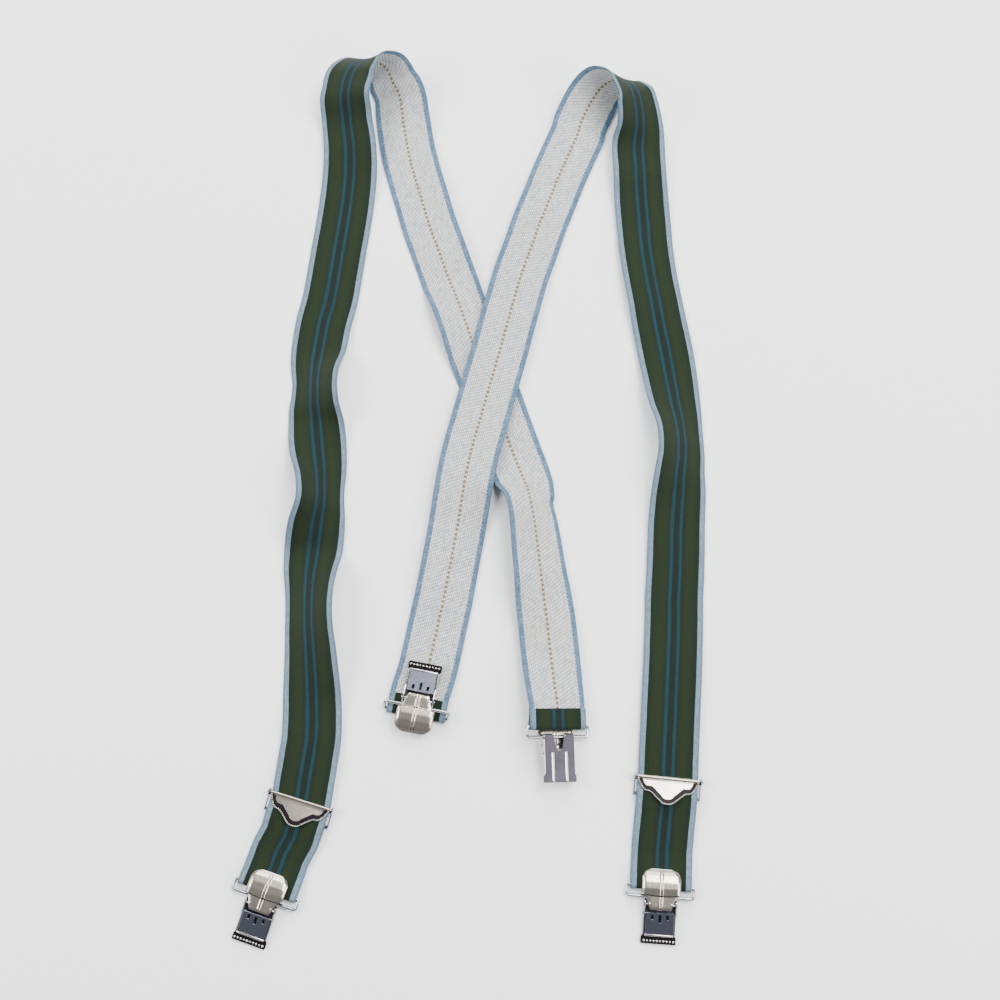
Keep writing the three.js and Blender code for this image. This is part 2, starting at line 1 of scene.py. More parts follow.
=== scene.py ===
"""Trouser suspenders laid flat on a table: woven straps, bat-wing adjusters and over-centre clips.

Stations and local shapes are in millimetres, as a maker would write them; meshes are in metres.
"""
import json
import logging
import math
from dataclasses import dataclass, field
from enum import Enum
from typing import Callable, Iterable, Optional, Sequence

import bmesh
import bpy
import numpy as np
from mathutils import Matrix, Vector
from mathutils.geometry import tessellate_polygon


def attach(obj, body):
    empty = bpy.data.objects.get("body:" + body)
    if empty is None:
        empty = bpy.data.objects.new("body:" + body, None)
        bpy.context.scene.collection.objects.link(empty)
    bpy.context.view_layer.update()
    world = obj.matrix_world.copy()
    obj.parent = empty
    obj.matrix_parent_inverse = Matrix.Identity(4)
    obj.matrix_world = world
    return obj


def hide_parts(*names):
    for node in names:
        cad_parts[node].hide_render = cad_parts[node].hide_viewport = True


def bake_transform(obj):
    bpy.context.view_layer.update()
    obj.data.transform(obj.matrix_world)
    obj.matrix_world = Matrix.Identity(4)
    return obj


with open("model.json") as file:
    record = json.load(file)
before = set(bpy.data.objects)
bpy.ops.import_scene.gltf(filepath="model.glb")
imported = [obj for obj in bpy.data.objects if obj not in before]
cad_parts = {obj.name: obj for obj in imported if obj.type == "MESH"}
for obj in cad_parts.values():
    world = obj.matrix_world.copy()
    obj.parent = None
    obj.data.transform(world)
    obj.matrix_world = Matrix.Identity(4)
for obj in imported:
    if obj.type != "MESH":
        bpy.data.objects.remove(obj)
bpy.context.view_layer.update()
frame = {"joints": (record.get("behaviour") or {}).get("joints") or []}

LOG = logging.getLogger("suspenders")
MM = 0.001
JOINTS = {joint["name"]: joint for joint in frame["joints"]}
Row = tuple[float, ...]
Rgb = tuple[float, float, float]


# ---------------------------------------------------------------- places
@dataclass(frozen=True)
class Place:
    """A point and the directions of the metalwork there: right, up the strap and outer face."""

    origin: np.ndarray
    right: np.ndarray
    up: np.ndarray

    @property
    def outer(self) -> np.ndarray:
        """The direction out of the patterned face."""
        return np.cross(self.right, self.up)

    def at(self, x: float, y: float, z: float) -> np.ndarray:
        """A local point in millimetres, as a point of the row frame in millimetres."""
        return self.origin + x * self.right + y * self.up + z * self.outer

    def matrix(self) -> Matrix:
        """Takes local millimetres to the row frame in metres."""
        axes = np.column_stack([self.right, self.up, self.outer]) * MM
        turned = Matrix(axes.tolist()).to_4x4()
        turned.translation = Vector(self.origin * MM)
        return turned


def unit(vector: np.ndarray) -> np.ndarray:
    """The vector at length one."""
    return vector / np.linalg.norm(vector)


def pivot(joint: str) -> np.ndarray:
    """A hinge's point in millimetres."""
    return np.array(JOINTS[joint]["pos_m"]) / MM


def bar_place(name: str) -> Place:
    """The strap's frame at a clip's upper ring bar.

    Args:
        name: the clip, such as left_front.

    Returns:
        The place, up the strap whatever way the ring is turned at rest.
    """
    hinge = JOINTS[f"{name}_ring_hinge"]
    right = np.array(hinge["axis"])
    ring_up = unit(pivot(f"{name}_ring_hinge") - pivot(f"{name}_clip_hinge"))
    turned = -hinge["range_deg"][0]
    back = Matrix.Rotation(-math.radians(turned), 3, Vector(right))
    return Place(pivot(f"{name}_ring_hinge"), right, np.array(back @ Vector(ring_up)))


def ring_place(name: str) -> Place:
    """The ring's own frame, from its lower bar towards its upper one."""
    right = np.array(JOINTS[f"{name}_ring_hinge"]["axis"])
    upper, lower = pivot(f"{name}_ring_hinge"), pivot(f"{name}_clip_hinge")
    return Place(lower, right, unit(upper - lower))


LEVER_PIVOT = (-4.2, 3.0)
JAW_PIVOT = (-9.5, 0.6)


def clip_place(name: str) -> Place:
    """The clip's own frame, found from its lever and jaw pivots."""
    origin = pivot(f"{name}_clip_hinge")
    arms = np.array([pivot(f"{name}_lever_hinge") - origin, pivot(f"{name}_jaw_hinge") - origin])
    up = (np.linalg.inv(np.array([LEVER_PIVOT, JAW_PIVOT])) @ arms)[0]
    return Place(origin, np.array(JOINTS[f"{name}_clip_hinge"]["axis"]), unit(up))


COVER_PIVOT = (-1.0, 5.2)


def adjuster_place(side: str) -> Place:
    """The adjuster's frame, on the table under the middle of its cover's top edge."""
    hinge = JOINTS[f"{side}_cover_hinge"]
    right = -np.array(hinge["axis"])
    up = np.cross([0, 0, 1], right)
    origin = pivot(f"{side}_cover_hinge") - COVER_PIVOT[0] * up - np.array([0, 0, COVER_PIVOT[1]])
    return Place(origin, right, up)


# ---------------------------------------------------------------- node helpers
def srgb(red: float, green: float, blue: float) -> Rgb:
    """Screen values from 0 to 255 as linear colour."""
    def linear(value: float) -> float:
        """One channel as linear light."""
        share = value / 255
        return share / 12.92 if share <= 0.04045 else ((share + 0.055) / 1.055) ** 2.4
    return (linear(red), linear(green), linear(blue))


class Nodes:
    """A thin hand over one node tree."""

    def __init__(self, tree: bpy.types.NodeTree) -> None:
        """Holds the tree."""
        self.tree = tree

    def add(self, kind: str, settings: Optional[dict] = None, **inputs: object) -> bpy.types.Node:
        """Adds a node.

        Args:
            kind: the node's type name.
            settings: its properties.
            inputs: values or sockets by input name, with i0, i1 for an input by its number.

        Returns:
            The node.
        """
        node = self.tree.nodes.new(kind)
        for key, value in (settings or {}).items():
            setattr(node, key, value)
        for key, value in inputs.items():
            named = key[0] != "i" or not key[1:].isdigit()
            socket = node.inputs[key.replace("_", " ")] if named else node.inputs[int(key[1:])]
            if isinstance(value, bpy.types.NodeSocket):
                self.tree.links.new(value, socket)
            else:
                socket.default_value = value
        return node

    def math(self, operation: str, *values: object) -> bpy.types.NodeSocket:
        """A Math node's result."""
        inputs = {f"i{i}": value for i, value in enumerate(values)}
        return self.add("ShaderNodeMath", {"operation": operation}, **inputs).outputs[0]

    def mix(self, factor: object, first: object, second: object, blend: str = "MIX") -> bpy.types.NodeSocket:
        """A colour mix's result."""
        node = self.add("ShaderNodeMix", {"data_type": "RGBA", "blend_type": blend})
        for index, value in ((0, factor), (6, first), (7, second)):
            if isinstance(value, bpy.types.NodeSocket):
                self.tree.links.new(value, node.inputs[index])
            else:
                node.inputs[index].default_value = value if index == 0 else (*value, 1)
        return node.outputs[2]

    def noise(self, vector: object, scale: float, detail: float = 3) -> bpy.types.NodeSocket:
        """A noise texture's value."""
        node = self.add("ShaderNodeTexNoise", Vector=vector, Scale=scale, Detail=detail)
        return node.outputs[0]

    def ramp(self, factor: object, stops: Sequence[tuple[float, Rgb]]) -> bpy.types.NodeSocket:
        """A colour ramp's colour."""
        node = self.add("ShaderNodeValToRGB", Fac=factor)
        ramp = node.color_ramp
        while len(ramp.elements) < len(stops):
            ramp.elements.new(1.0)
        for element, (position, colour) in zip(ramp.elements, stops):
            element.position = position
            element.color = (*colour, 1)
        return node.outputs[0]


def group_tree(name: str, inputs: Iterable[str], outputs: Iterable[str]) -> tuple[Nodes, dict, bpy.types.Node]:
    """Starts a shader node group with float sockets, and one vector input named Place where asked.

    Args:
        name: the group's name.
        inputs: its input names.
        outputs: its output names.

    Returns:
        The group's nodes, its input sockets by name, and its output node.
    """
    tree = bpy.data.node_groups.new(name, "ShaderNodeTree")
    for socket in inputs:
        kind = "NodeSocketVector" if socket == "Place" else "NodeSocketFloat"
        tree.interface.new_socket(socket, in_out="INPUT", socket_type=kind)
    for socket in outputs:
        tree.interface.new_socket(socket, in_out="OUTPUT", socket_type="NodeSocketFloat")
    nodes = Nodes(tree)
    source = tree.nodes.new("NodeGroupInput")
    return nodes, {s.name: s for s in source.outputs}, tree.nodes.new("NodeGroupOutput")


def weave_group() -> bpy.types.NodeTree:
    """Woven ribs that run along the webbing, broken by picks that step from rib to rib."""
    nodes, given, out = group_tree("weave", ["Across", "Along", "Rib", "Pick", "Slant"], ["Height", "Thread"])
    rib = nodes.math("DIVIDE", given["Across"], given["Rib"])
    index = nodes.math("FLOOR", rib)
    ridge = nodes.math("ABSOLUTE", nodes.math("SINE", nodes.math("MULTIPLY", rib, math.pi)))
    picks = nodes.math("DIVIDE", given["Along"], given["Pick"])
    slanted = nodes.math("MULTIPLY_ADD", index, given["Slant"], picks)
    pick = nodes.math("ABSOLUTE", nodes.math("SINE", nodes.math("MULTIPLY", slanted, math.pi)))
    height = nodes.math("MULTIPLY", nodes.math("POWER", ridge, 0.6), nodes.math("MULTIPLY_ADD", pick, 0.65, 0.35))
    cell = nodes.add("ShaderNodeCombineXYZ", X=index, Y=nodes.math("FLOOR", slanted))
    thread = nodes.add("ShaderNodeTexWhiteNoise", {"noise_dimensions": "2D"}, Vector=cell.outputs[0])
    nodes.tree.links.new(height, out.inputs["Height"])
    nodes.tree.links.new(thread.outputs[0], out.inputs["Thread"])
    return nodes.tree


def wear_group() -> bpy.types.NodeTree:
    """Handled plate: broad smudges and fine scratches."""
    nodes, given, out = group_tree("wear", ["Place", "Smudge", "Scratch"], ["Smudges", "Scratches"])
    smudge = nodes.noise(given["Place"], 90.0, 4)
    nodes.tree.links.new(nodes.math("MULTIPLY", smudge, given["Smudge"]), out.inputs["Smudges"])
    stretched = nodes.add("ShaderNodeMapping", Vector=given["Place"])
    stretched.inputs["Rotation"].default_value = (0.4, 0.2, 0.7)
    stretched.inputs["Scale"].default_value = (1.0, 14.0, 6.0)
    scratch = nodes.noise(stretched.outputs[0], 320.0, 2)
    sharp = nodes.math("MULTIPLY", nodes.math("POWER", scratch, 3.0), given["Scratch"])
    nodes.tree.links.new(sharp, out.inputs["Scratches"])
    return nodes.tree


class Groups(Enum):
    """The shared shader effects."""

    WEAVE = "weave"
    WEAR = "wear"

    def placed(self, nodes: Nodes, **inputs: object) -> bpy.types.Node:
        """Places the group in a material, building it the first time."""
        builders = {Groups.WEAVE: weave_group, Groups.WEAR: wear_group}
        tree = bpy.data.node_groups.get(self.value) or builders[self]()
        return nodes.add("ShaderNodeGroup", {"node_tree": tree}, **inputs)


def new_material(name: str) -> tuple[bpy.types.Material, Nodes, bpy.types.Node]:
    """A material with its Principled shader.

    Args:
        name: the material's name.

    Returns:
        The material, its nodes and the shader node.
    """
    material = bpy.data.materials.new(name)
    material.use_nodes = True
    return material, Nodes(material.node_tree), material.node_tree.nodes["Principled BSDF"]


# ---------------------------------------------------------------- webbing finishes
WEB_WIDTH = 37.0
WEB_THICKNESS = 1.2

SLATE = srgb(104, 126, 140)
SLATE_EDGE = srgb(80, 104, 122)
FIELD = srgb(16, 33, 9)
FIELD_WARM = srgb(22, 33, 10)
FIELD_DARK = srgb(12, 26, 9)
SEAM = srgb(6, 20, 18)
TEAL = srgb(6, 38, 44)
TEAL_LIGHT = srgb(10, 48, 56)
FACE_STOPS: Sequence[tuple[float, Rgb]] = (
    (0.0, SLATE_EDGE), (0.05, SLATE), (0.094, SLATE), (0.104, SEAM), (0.13, FIELD_DARK), (0.20, FIELD),
    (0.27, FIELD_WARM), (0.34, FIELD), (0.375, FIELD_DARK), (0.39, TEAL), (0.42, TEAL_LIGHT), (0.45, TEAL),
    (0.463, SEAM), (0.50, FIELD_DARK), (0.537, SEAM), (0.55, TEAL), (0.58, TEAL_LIGHT), (0.60, TEAL),
    (0.615, FIELD_DARK), (0.70, FIELD_WARM), (0.78, FIELD), (0.86, FIELD_DARK), (0.896, SEAM), (0.906, SLATE),
    (0.95, SLATE), (1.0, SLATE_EDGE),
)


@dataclass(frozen=True)
class BraidFace:
    """The patterned outer face: slate selvedges, olive field and a pair of teal stripes."""

    rib: float = 0.62
    pick: float = 1.1
    depth: float = 0.00022

    def build(self) -> bpy.types.Material:
        """Makes the material."""
        material, nodes, shader = new_material("braid_face")
        uv = nodes.add("ShaderNodeSeparateXYZ", Vector=nodes.add("ShaderNodeUVMap", {"uv_map": "weave"}).outputs[0])
        across, along = uv.outputs[0], uv.outputs[1]
        place = nodes.add("ShaderNodeTexCoord").outputs["Object"]
        wobble = nodes.math("MULTIPLY_ADD", nodes.noise(place, 60.0), 0.5, -0.25)
        share = nodes.math("DIVIDE", nodes.math("ADD", across, wobble), WEB_WIDTH)
        colour = nodes.ramp(share, FACE_STOPS)
        weave = Groups.WEAVE.placed(
            nodes, Across=across, Along=along, Rib=self.rib, Pick=self.pick, Slant=0.5)
        thread = nodes.math("MULTIPLY_ADD", weave.outputs["Thread"], 0.45, 0.72)
        relief = nodes.math("MULTIPLY_ADD", weave.outputs["Height"], 0.7, 0.5)
        shade = nodes.math("MULTIPLY", thread, relief)
        streak = nodes.add("ShaderNodeMapping", Vector=nodes.add("ShaderNodeUVMap", {"uv_map": "weave"}).outputs[0])
        streak.inputs["Scale"].default_value = (1.0, 0.02, 1.0)
        lines = nodes.math("MULTIPLY_ADD", nodes.noise(streak.outputs[0], 1.1, 2), 0.5, 0.75)
        tone = nodes.math("MULTIPLY", shade, lines)
        grey = nodes.add("ShaderNodeCombineColor", i0=tone, i1=tone, i2=tone).outputs[0]
        nodes.tree.links.new(nodes.mix(1.0, colour, grey, "MULTIPLY"), shader.inputs["Base Color"])
        rough = nodes.math("MULTIPLY_ADD", weave.outputs["Thread"], 0.15, 0.72)
        nodes.tree.links.new(rough, shader.inputs["Roughness"])
        bump = nodes.add("ShaderNodeBump", Height=weave.outputs["Height"], Strength=0.8, Distance=self.depth)
        nodes.tree.links.new(bump.outputs[0], shader.inputs["Normal"])
        shader.inputs["Sheen Weight"].default_value = 0.04
        shader.inputs["Specular IOR Level"].default_value = 0.2
        return material


@dataclass(frozen=True)
class TwillBack:
    """The pale inner face: diagonal twill, a dotted gold centre line and toothed slate edges."""

    rib: float = 1.15
    pick: float = 2.3
    depth: float = 0.0004
    edge: float = 3.0
    tooth: float = 0.9
    tooth_pitch: float = 1.15

    def build(self) -> bpy.types.Material:
        """Makes the material."""
        material, nodes, shader = new_material("twill_back")
        uv_map = nodes.add("ShaderNodeUVMap", {"uv_map": "weave"}).outputs[0]
        uv = nodes.add("ShaderNodeSeparateXYZ", Vector=uv_map)
        across, along = uv.outputs[0], uv.outputs[1]
        place = nodes.add("ShaderNodeTexCoord").outputs["Object"]
        weave = Groups.WEAVE.placed(
            nodes, Across=across, Along=along, Rib=self.rib, Pick=self.pick, Slant=0.28)
        ground = nodes.ramp(weave.outputs["Thread"], (
            (0.0, srgb(176, 181, 187)), (0.2, srgb(196, 200, 204)), (0.7, srgb(208, 211, 214)),
            (1.0, srgb(220, 222, 224))))
        shadow = nodes.math("MULTIPLY_ADD", weave.outputs["Height"], 0.85, 0.2)
        grey = nodes.add("ShaderNodeCombineColor", i0=shadow, i1=shadow, i2=shadow).outputs[0]
        ground = nodes.mix(1.0, ground, grey, "MULTIPLY")
        stain = nodes.math("POWER", nodes.noise(place, 26.0, 4), 3.2)
        ground = nodes.mix(nodes.math("MINIMUM", nodes.math("MULTIPLY", stain, 0.9), 0.5), ground, srgb(176, 164, 138))
        # Specks of dark thread.
        speck = nodes.add("ShaderNodeTexVoronoi", Vector=uv_map, Scale=0.16)
        dark = nodes.math("LESS_THAN", speck.outputs["Distance"], 0.05)
        ground = nodes.mix(nodes.math("MULTIPLY", dark, 0.5), ground, srgb(110, 104, 96))
        # Centre line of gold and brown dashes.
        off_centre = nodes.math("ABSOLUTE", nodes.math("SUBTRACT", across, WEB_WIDTH / 2))
        dash = nodes.math("LESS_THAN", nodes.math("FRACT", nodes.math("DIVIDE", along, 3.1)), 0.58)
        thread = nodes.math("MULTIPLY", nodes.math("LESS_THAN", off_centre, 0.85), dash)
        ground = nodes.mix(nodes.math("MULTIPLY", thread, 0.9), ground, srgb(104, 82, 6))
        # Toothed slate edges.
        side = nodes.math("MINIMUM", across, nodes.math("SUBTRACT", WEB_WIDTH, across))
        teeth = nodes.math("PINGPONG", along, self.tooth_pitch)
        limit = nodes.math("MULTIPLY_ADD", teeth, self.tooth / self.tooth_pitch, self.edge)
        edge = nodes.math("LESS_THAN", side, limit)
        slate = nodes.mix(weave.outputs["Thread"], srgb(62, 90, 114), srgb(88, 116, 138))
        colour = nodes.mix(edge, ground, slate)
        nodes.tree.links.new(colour, shader.inputs["Base Color"])
        rough = nodes.math("MULTIPLY_ADD", weave.outputs["Thread"], 0.12, 0.8)
        nodes.tree.links.new(rough, shader.inputs["Roughness"])
        bump = nodes.add("ShaderNodeBump", Height=weave.outputs["Height"], Strength=0.9, Distance=self.depth)
        nodes.tree.links.new(bump.outputs[0], shader.inputs["Normal"])
        shader.inputs["Sheen Weight"].default_value = 0.05
        shader.inputs["Specular IOR Level"].default_value = 0.25
        return material


@dataclass(frozen=True)
class SewingThread:
    """Twisted polyester thread."""

    colour: Rgb = srgb(120, 126, 130)

    def build(self) -> bpy.types.Material:
        """Makes the material."""
        material, nodes, shader = new_material("sewing_thread")
        place = nodes.add("ShaderNodeTexCoord").outputs["Object"]
        twist = nodes.noise(place, 2600.0, 1)
        light = tuple(min(1.0, 1.35 * c) for c in self.colour)
        dark = tuple(0.7 * c for c in self.colour)
        nodes.tree.links.new(nodes.ramp(twist, ((0.3, dark), (0.7, light))), shader.inputs["Base Color"])
        bump = nodes.add("ShaderNodeBump", Height=twist, Strength=0.4, Distance=0.00008)
        nodes.tree.links.new(bump.outputs[0], shader.inputs["Normal"])
        shader.inputs["Roughness"].default_value = 0.6
        return material


# ---------------------------------------------------------------- plated finishes
@dataclass(frozen=True)
class Plate:
    """Plated metal: its tint, how mirror-like it is and how worn."""

    name: str
    colour: Rgb
    tarnish: Rgb
    roughness: float
    smudge: float = 0.25
    scratch: float = 0.5
    hatch: bool = False

    def build(self) -> bpy.types.Material:
        """Makes the material."""
        material, nodes, shader = new_material(self.name)
        place = nodes.add("ShaderNodeTexCoord").outputs["Object"]
        wear = Groups.WEAR.placed(nodes, Place=place, Smudge=self.smudge, Scratch=self.scratch)
        smudges, scratches = wear.outputs["Smudges"], wear.outputs["Scratches"]
        colour = nodes.mix(nodes.math("MULTIPLY", smudges, 1.6), self.colour, self.tarnish)
        height = scratches
        if self.hatch:
            line = nodes.add("ShaderNodeMapping", Vector=place)
            line.inputs["Rotation"].default_value = (0, 0, math.radians(38))
            line.inputs["Scale"].default_value = (1.0, 0.06, 0.2)
            hatching = nodes.noise(line.outputs[0], 1500.0, 2)
            height = nodes.math("MULTIPLY_ADD", hatching, 0.6, scratches)
            colour = nodes.mix(nodes.math("MULTIPLY", nodes.math("POWER", hatching, 2.0), 0.55), colour, self.tarnish)
        nodes.tree.links.new(colour, shader.inputs["Base Color"])
        shader.inputs["Metallic"].default_value = 1.0
        rough = nodes.math("ADD", nodes.math("MULTIPLY_ADD", smudges, 0.5, self.roughness),
                           nodes.math("MULTIPLY", scratches, 0.25))
        nodes.tree.links.new(rough, shader.inputs["Roughness"])
        bump = nodes.add("ShaderNodeBump", Height=height, Strength=0.25, Distance=0.00005)
        nodes.tree.links.new(bump.outputs[0], shader.inputs["Normal"])
        return material


class Finish(Enum):
    """The metal finishes of the hardware; three of them are darkened to carry painted shade and dark reflection."""

    SATIN = Plate("satin_nickel", srgb(206, 198, 186), srgb(126, 110, 92), 0.16, smudge=0.3, hatch=True)
    BRIGHT = Plate("bright_nickel", srgb(206, 205, 204), srgb(120, 112, 106), 0.1)
    # Back plate colour darkened as painted dark reflection, with heavy smudges on top.
    PANEL = Plate("worn_back_panel", srgb(82, 79, 88), srgb(44, 40, 46), 0.2, smudge=0.55)
    # Jaw and adjuster frame: a dark nickel tint, darkened further as painted dark reflection.
    DARK = Plate("dark_mirror", srgb(134, 138, 152), srgb(70, 68, 78), 0.12, smudge=0.4)
    # Near-black on the dome's pressed lines, the lip block and the cover's groove band: painted shade and dark
    # reflection.
    GROOVE = Plate("blackened_groove", srgb(34, 30, 30), srgb(18, 16, 18), 0.35)
    WIRE = Plate("plated_wire", srgb(188, 190, 194), srgb(100, 96, 94), 0.12)

    def material(self) -> bpy.types.Material:
        """The finish's material, built the first time."""
        return bpy.data.materials.get(self.value.name) or self.value.build()


# ---------------------------------------------------------------- solids in a piece's own frame
Mesh = tuple[list[tuple[float, float, float]], list[tuple[int, ...]]]
Outline = Sequence[tuple[float, float]]


def inset(outline: Outline, amount: float) -> list[tuple[float, float]]:
    """An outline drawn in towards its material; the outer one runs anticlockwise and a hole clockwise."""
    drawn = []
    points = [np.array(p, float) for p in outline]
    for before, here, after in zip(points[-1:] + points[:-1], points, points[1:] + points[:1]):
        first, second = unit(here - before), unit(after - here)
        normals = np.array([[first[1], -first[0]], [second[1], -second[0]]])
        mitre = normals.sum(0) / max(1 + normals[0] @ normals[1], 0.4)
        drawn.append(tuple(here - amount * mitre))
    return drawn


def rounded(outline: Outline, radius: float, steps: int = 4) -> list[tuple[float, float]]:
    """An outline with its corners cut to short curves of about that radius."""
    points = [np.array(p, float) for p in outline]
    curve: list[tuple[float, float]] = []
    for before, here, after in zip(points[-1:] + points[:-1], points, points[1:] + points[:1]):
        reach_in = min(radius, 0.45 * np.linalg.norm(before - here))
        reach_out = min(radius, 0.45 * np.linalg.norm(after - here))
        start, end = here + reach_in * unit(before - here), here + reach_out * unit(after - here)
        for step in range(steps + 1):
            t = step / steps
            curve.append(tuple((1 - t) ** 2 * start + 2 * t * (1 - t) * here + t ** 2 * end))
    return curve


def plate(outline: Outline, z0: float, z1: float, holes: Sequence[Outline] = (), bevel: float = 0.14) -> Mesh:
    """A flat plate with bevelled edges.

    Args:
        outline: its outer edge in x and y, anticlockwise.
        z0: its underside.
        z1: its top.
        holes: openings, clockwise.
        bevel: how far its edges are broken.

    Returns:
        Vertices and faces of a closed mesh.
    """
    loops = [list(outline), *[list(hole) for hole in holes]]
    levels = ((z0, bevel), (z0 + bevel, 0.0), (z1 - bevel, 0.0), (z1, bevel))
    verts: list[tuple[float, float, float]] = []
    rings: list[list[list[int]]] = []
    for z, drawn_in in levels:
        level = []
        for loop in loops:
            shape = inset(loop, drawn_in) if drawn_in else loop
            level.append(list(range(len(verts), len(verts) + len(shape))))
            verts += [(x, y, z) for x, y in shape]
        rings.append(level)
    faces: list[tuple[int, ...]] = []
    for low, high in zip(rings, rings[1:]):
        for a, b in zip(low, high):
            faces += [(a[i], a[(i + 1) % len(a)], b[(i + 1) % len(a)], b[i]) for i in range(len(a))]
    for level, turned in ((rings[0], True), (rings[-1], False)):
        flat = [v for loop in level for v in loop]
        for triangle in tessellate_polygon([[Vector(verts[v]) for v in loop] for loop in level]):
            corners = tuple(flat[i] for i in triangle)
            faces.append(corners[::-1] if turned else corners)
    return verts, faces


def wall(outline: Outline, x0: float, x1: float, bevel: float = 0.12) -> Mesh:
    """A plate standing along the strap, its outline in y and z."""
    verts, faces = plate(outline, x0, x1, bevel=bevel)
    return [(z, x, y) for x, y, z in verts], faces


def box(low: Row, high: Row, bevel: float = 0.15) -> Mesh:
    """A box with broken edges between two corners."""
    outline = [(low[0], low[1]), (high[0], low[1]), (high[0], high[1]), (low[0], high[1])]
    return plate(rounded(outline, bevel, 2), low[2], high[2], bevel=bevel)


def turned_bar(profile: Outline, y: float, z: float, sides: int = 28, hollow: bool = False) -> Mesh:
    """A bar turned about a line along X.

    Args:
        profile: x and radius from one end to the other; radius 0 at both ends, or a closed loop when hollow.
        y: its axis.
        z: its axis.
        sides: how many sides it has.
        hollow: whether the profile closes on itself.

    Returns:
        Vertices and faces of a closed mesh.
    """
    verts: list[tuple[float, float, float]] = []
    rows: list[list[int]] = []
    for x, radius in profile:
        if radius == 0:
            rows.append([len(verts)] * sides)
            verts.append((x, y, z))
            continue
        rows.append(list(range(len(verts), len(verts) + sides)))
        for side in range(sides):
            angle = 2 * math.pi * side / sides
            verts.append((x, y + radius * math.cos(angle), z + radius * math.sin(angle)))
    pairs = list(zip(rows, rows[1:] + rows[:1] if hollow else rows[1:]))
    faces = []
    for low, high in pairs:
        for i in range(sides):
            corners = (low[i], low[(i + 1) % sides], high[(i + 1) % sides], high[i])
            faces.append(tuple(dict.fromkeys(corners)))
    return verts, faces


def bar(radius: float, x0: float, x1: float, y: float, z: float, crown: float = 0.2) -> Mesh:
    """A solid round bar along X with rounded ends."""
    return turned_bar(((x0, 0), (x0, radius - crown), (x0 + 0.3 * crown, radius - 0.3 * crown), (x0 + crown, radius),
                       (x1 - crown, radius), (x1 - 0.3 * crown, radius - 0.3 * crown), (x1, radius - crown),
                       (x1, 0)), y, z)


def tube(outer: float, inner: float, x0: float, x1: float, y: float, z: float, crown: float = 0.15) -> Mesh:
    """A round tube along X with broken edges."""
    return turned_bar(((x0, inner), (x0, outer - crown), (x0 + crown, outer), (x1 - crown, outer),
                       (x1, outer - crown), (x1, inner)), y, z, hollow=True)


def shell(x: np.ndarray, y: np.ndarray, z: np.ndarray, thickness: float) -> Mesh:
    """Sheet metal from a grid of points on its top, closed round its rim."""
    rows, columns = x.shape
    top = np.stack([x, y, z], -1).reshape(-1, 3)
    under = top - [0, 0, thickness]
    verts = [tuple(v) for v in np.vstack([top, under])]
    count = rows * columns
    faces = []
    for r in range(rows - 1):
        for c in range(columns - 1):
            a = r * columns + c
            faces.append((a, a + 1, a + columns + 1, a + columns))
            faces.append((count + a, count + a + columns, count + a + columns + 1, count + a + 1))
    rim = [c for c in range(columns)] + [r * columns + columns - 1 for r in range(1, rows)]
    rim += [(rows - 1) * columns + c for c in range(columns - 2, -1, -1)]
    rim += [r * columns for r in range(rows - 2, 0, -1)]
    faces += [(a, count + a, count + b, b) for a, b in zip(rim, rim[1:] + rim[:1])]
    return verts, faces


class Solid:
    """Closed shapes gathered in a piece's own frame, then placed as one mesh."""

    def __init__(self, name: str, place: Place) -> None:
        """Starts an empty piece."""
        self.name = name
        self.place = place
        self.verts: list[tuple[float, float, float]] = []
        self.faces: list[tuple[int, ...]] = []
        self.kinds: list[int] = []

    def add(self, shape: Mesh, kind: int | Sequence[int] = 0) -> "Solid":
        """Adds a shape in one of the piece's finishes, or with one for each face."""
        verts, faces = shape
        start = len(self.verts)
        self.verts += verts
        self.faces += [tuple(start + v for v in face) for face in faces]
        self.kinds += [kind] * len(faces) if isinstance(kind, int) else list(kind)
        return self

    def made(self, *finishes: Finish) -> bpy.types.Object:
        """Makes the object, with finishes by kind."""
        mesh = bpy.data.meshes.new(self.name)
        mesh.from_pydata(self.verts, [], self.faces)
        for finish in finishes:
            mesh.materials.append(finish.material())
        mesh.polygons.foreach_set("material_index", self.kinds)
        mesh.transform(self.place.matrix())
        return linked(self.name, closed(mesh))


SMOOTH_ANGLE = math.radians(38)


def closed(mesh: bpy.types.Mesh) -> bpy.types.Mesh:
    """Turns a mesh's faces outward and shades it smooth between its sharp edges."""
    work = bmesh.new()
    work.from_mesh(mesh)
    bmesh.ops.remove_doubles(work, verts=work.verts, dist=1e-7)
    bmesh.ops.recalc_face_normals(work, faces=work.faces)
    work.to_mesh(mesh)
    work.free()
    mesh.shade_smooth()
    mesh.set_sharp_from_angle(angle=SMOOTH_ANGLE)
    return mesh


def linked(name: str, mesh: bpy.types.Mesh) -> bpy.types.Object:
    """An object at the origin for a mesh."""
    made = bpy.data.objects.new(name, mesh)
    bpy.context.scene.collection.objects.link(made)
    return made


# ---------------------------------------------------------------- Geometry Nodes
class Motif(Enum):
    """What is repeated along a path."""

    BEAD = "bead"
    TOOTH = "tooth"


def geometry_tree(name: str, inputs: Sequence[tuple[str, str]]) -> tuple[Nodes, bpy.types.Node, bpy.types.Node]:
    """Starts a Geometry Nodes tree with its inputs.

    Args:
        name: the tree's name.
        inputs: names and socket types after the geometry.

    Returns:
        The tree's nodes, its input node and its output node.
    """
    tree = bpy.data.node_groups.new(name, "GeometryNodeTree")
    tree.interface.new_socket("Geometry", in_out="INPUT", socket_type="NodeSocketGeometry")
    for label, kind in inputs:
        tree.interface.new_socket(label, in_out="INPUT", socket_type=kind)
    tree.interface.new_socket("Geometry", in_out="OUTPUT", socket_type="NodeSocketGeometry")
    return Nodes(tree), tree.nodes.new("NodeGroupInput"), tree.nodes.new("NodeGroupOutput")


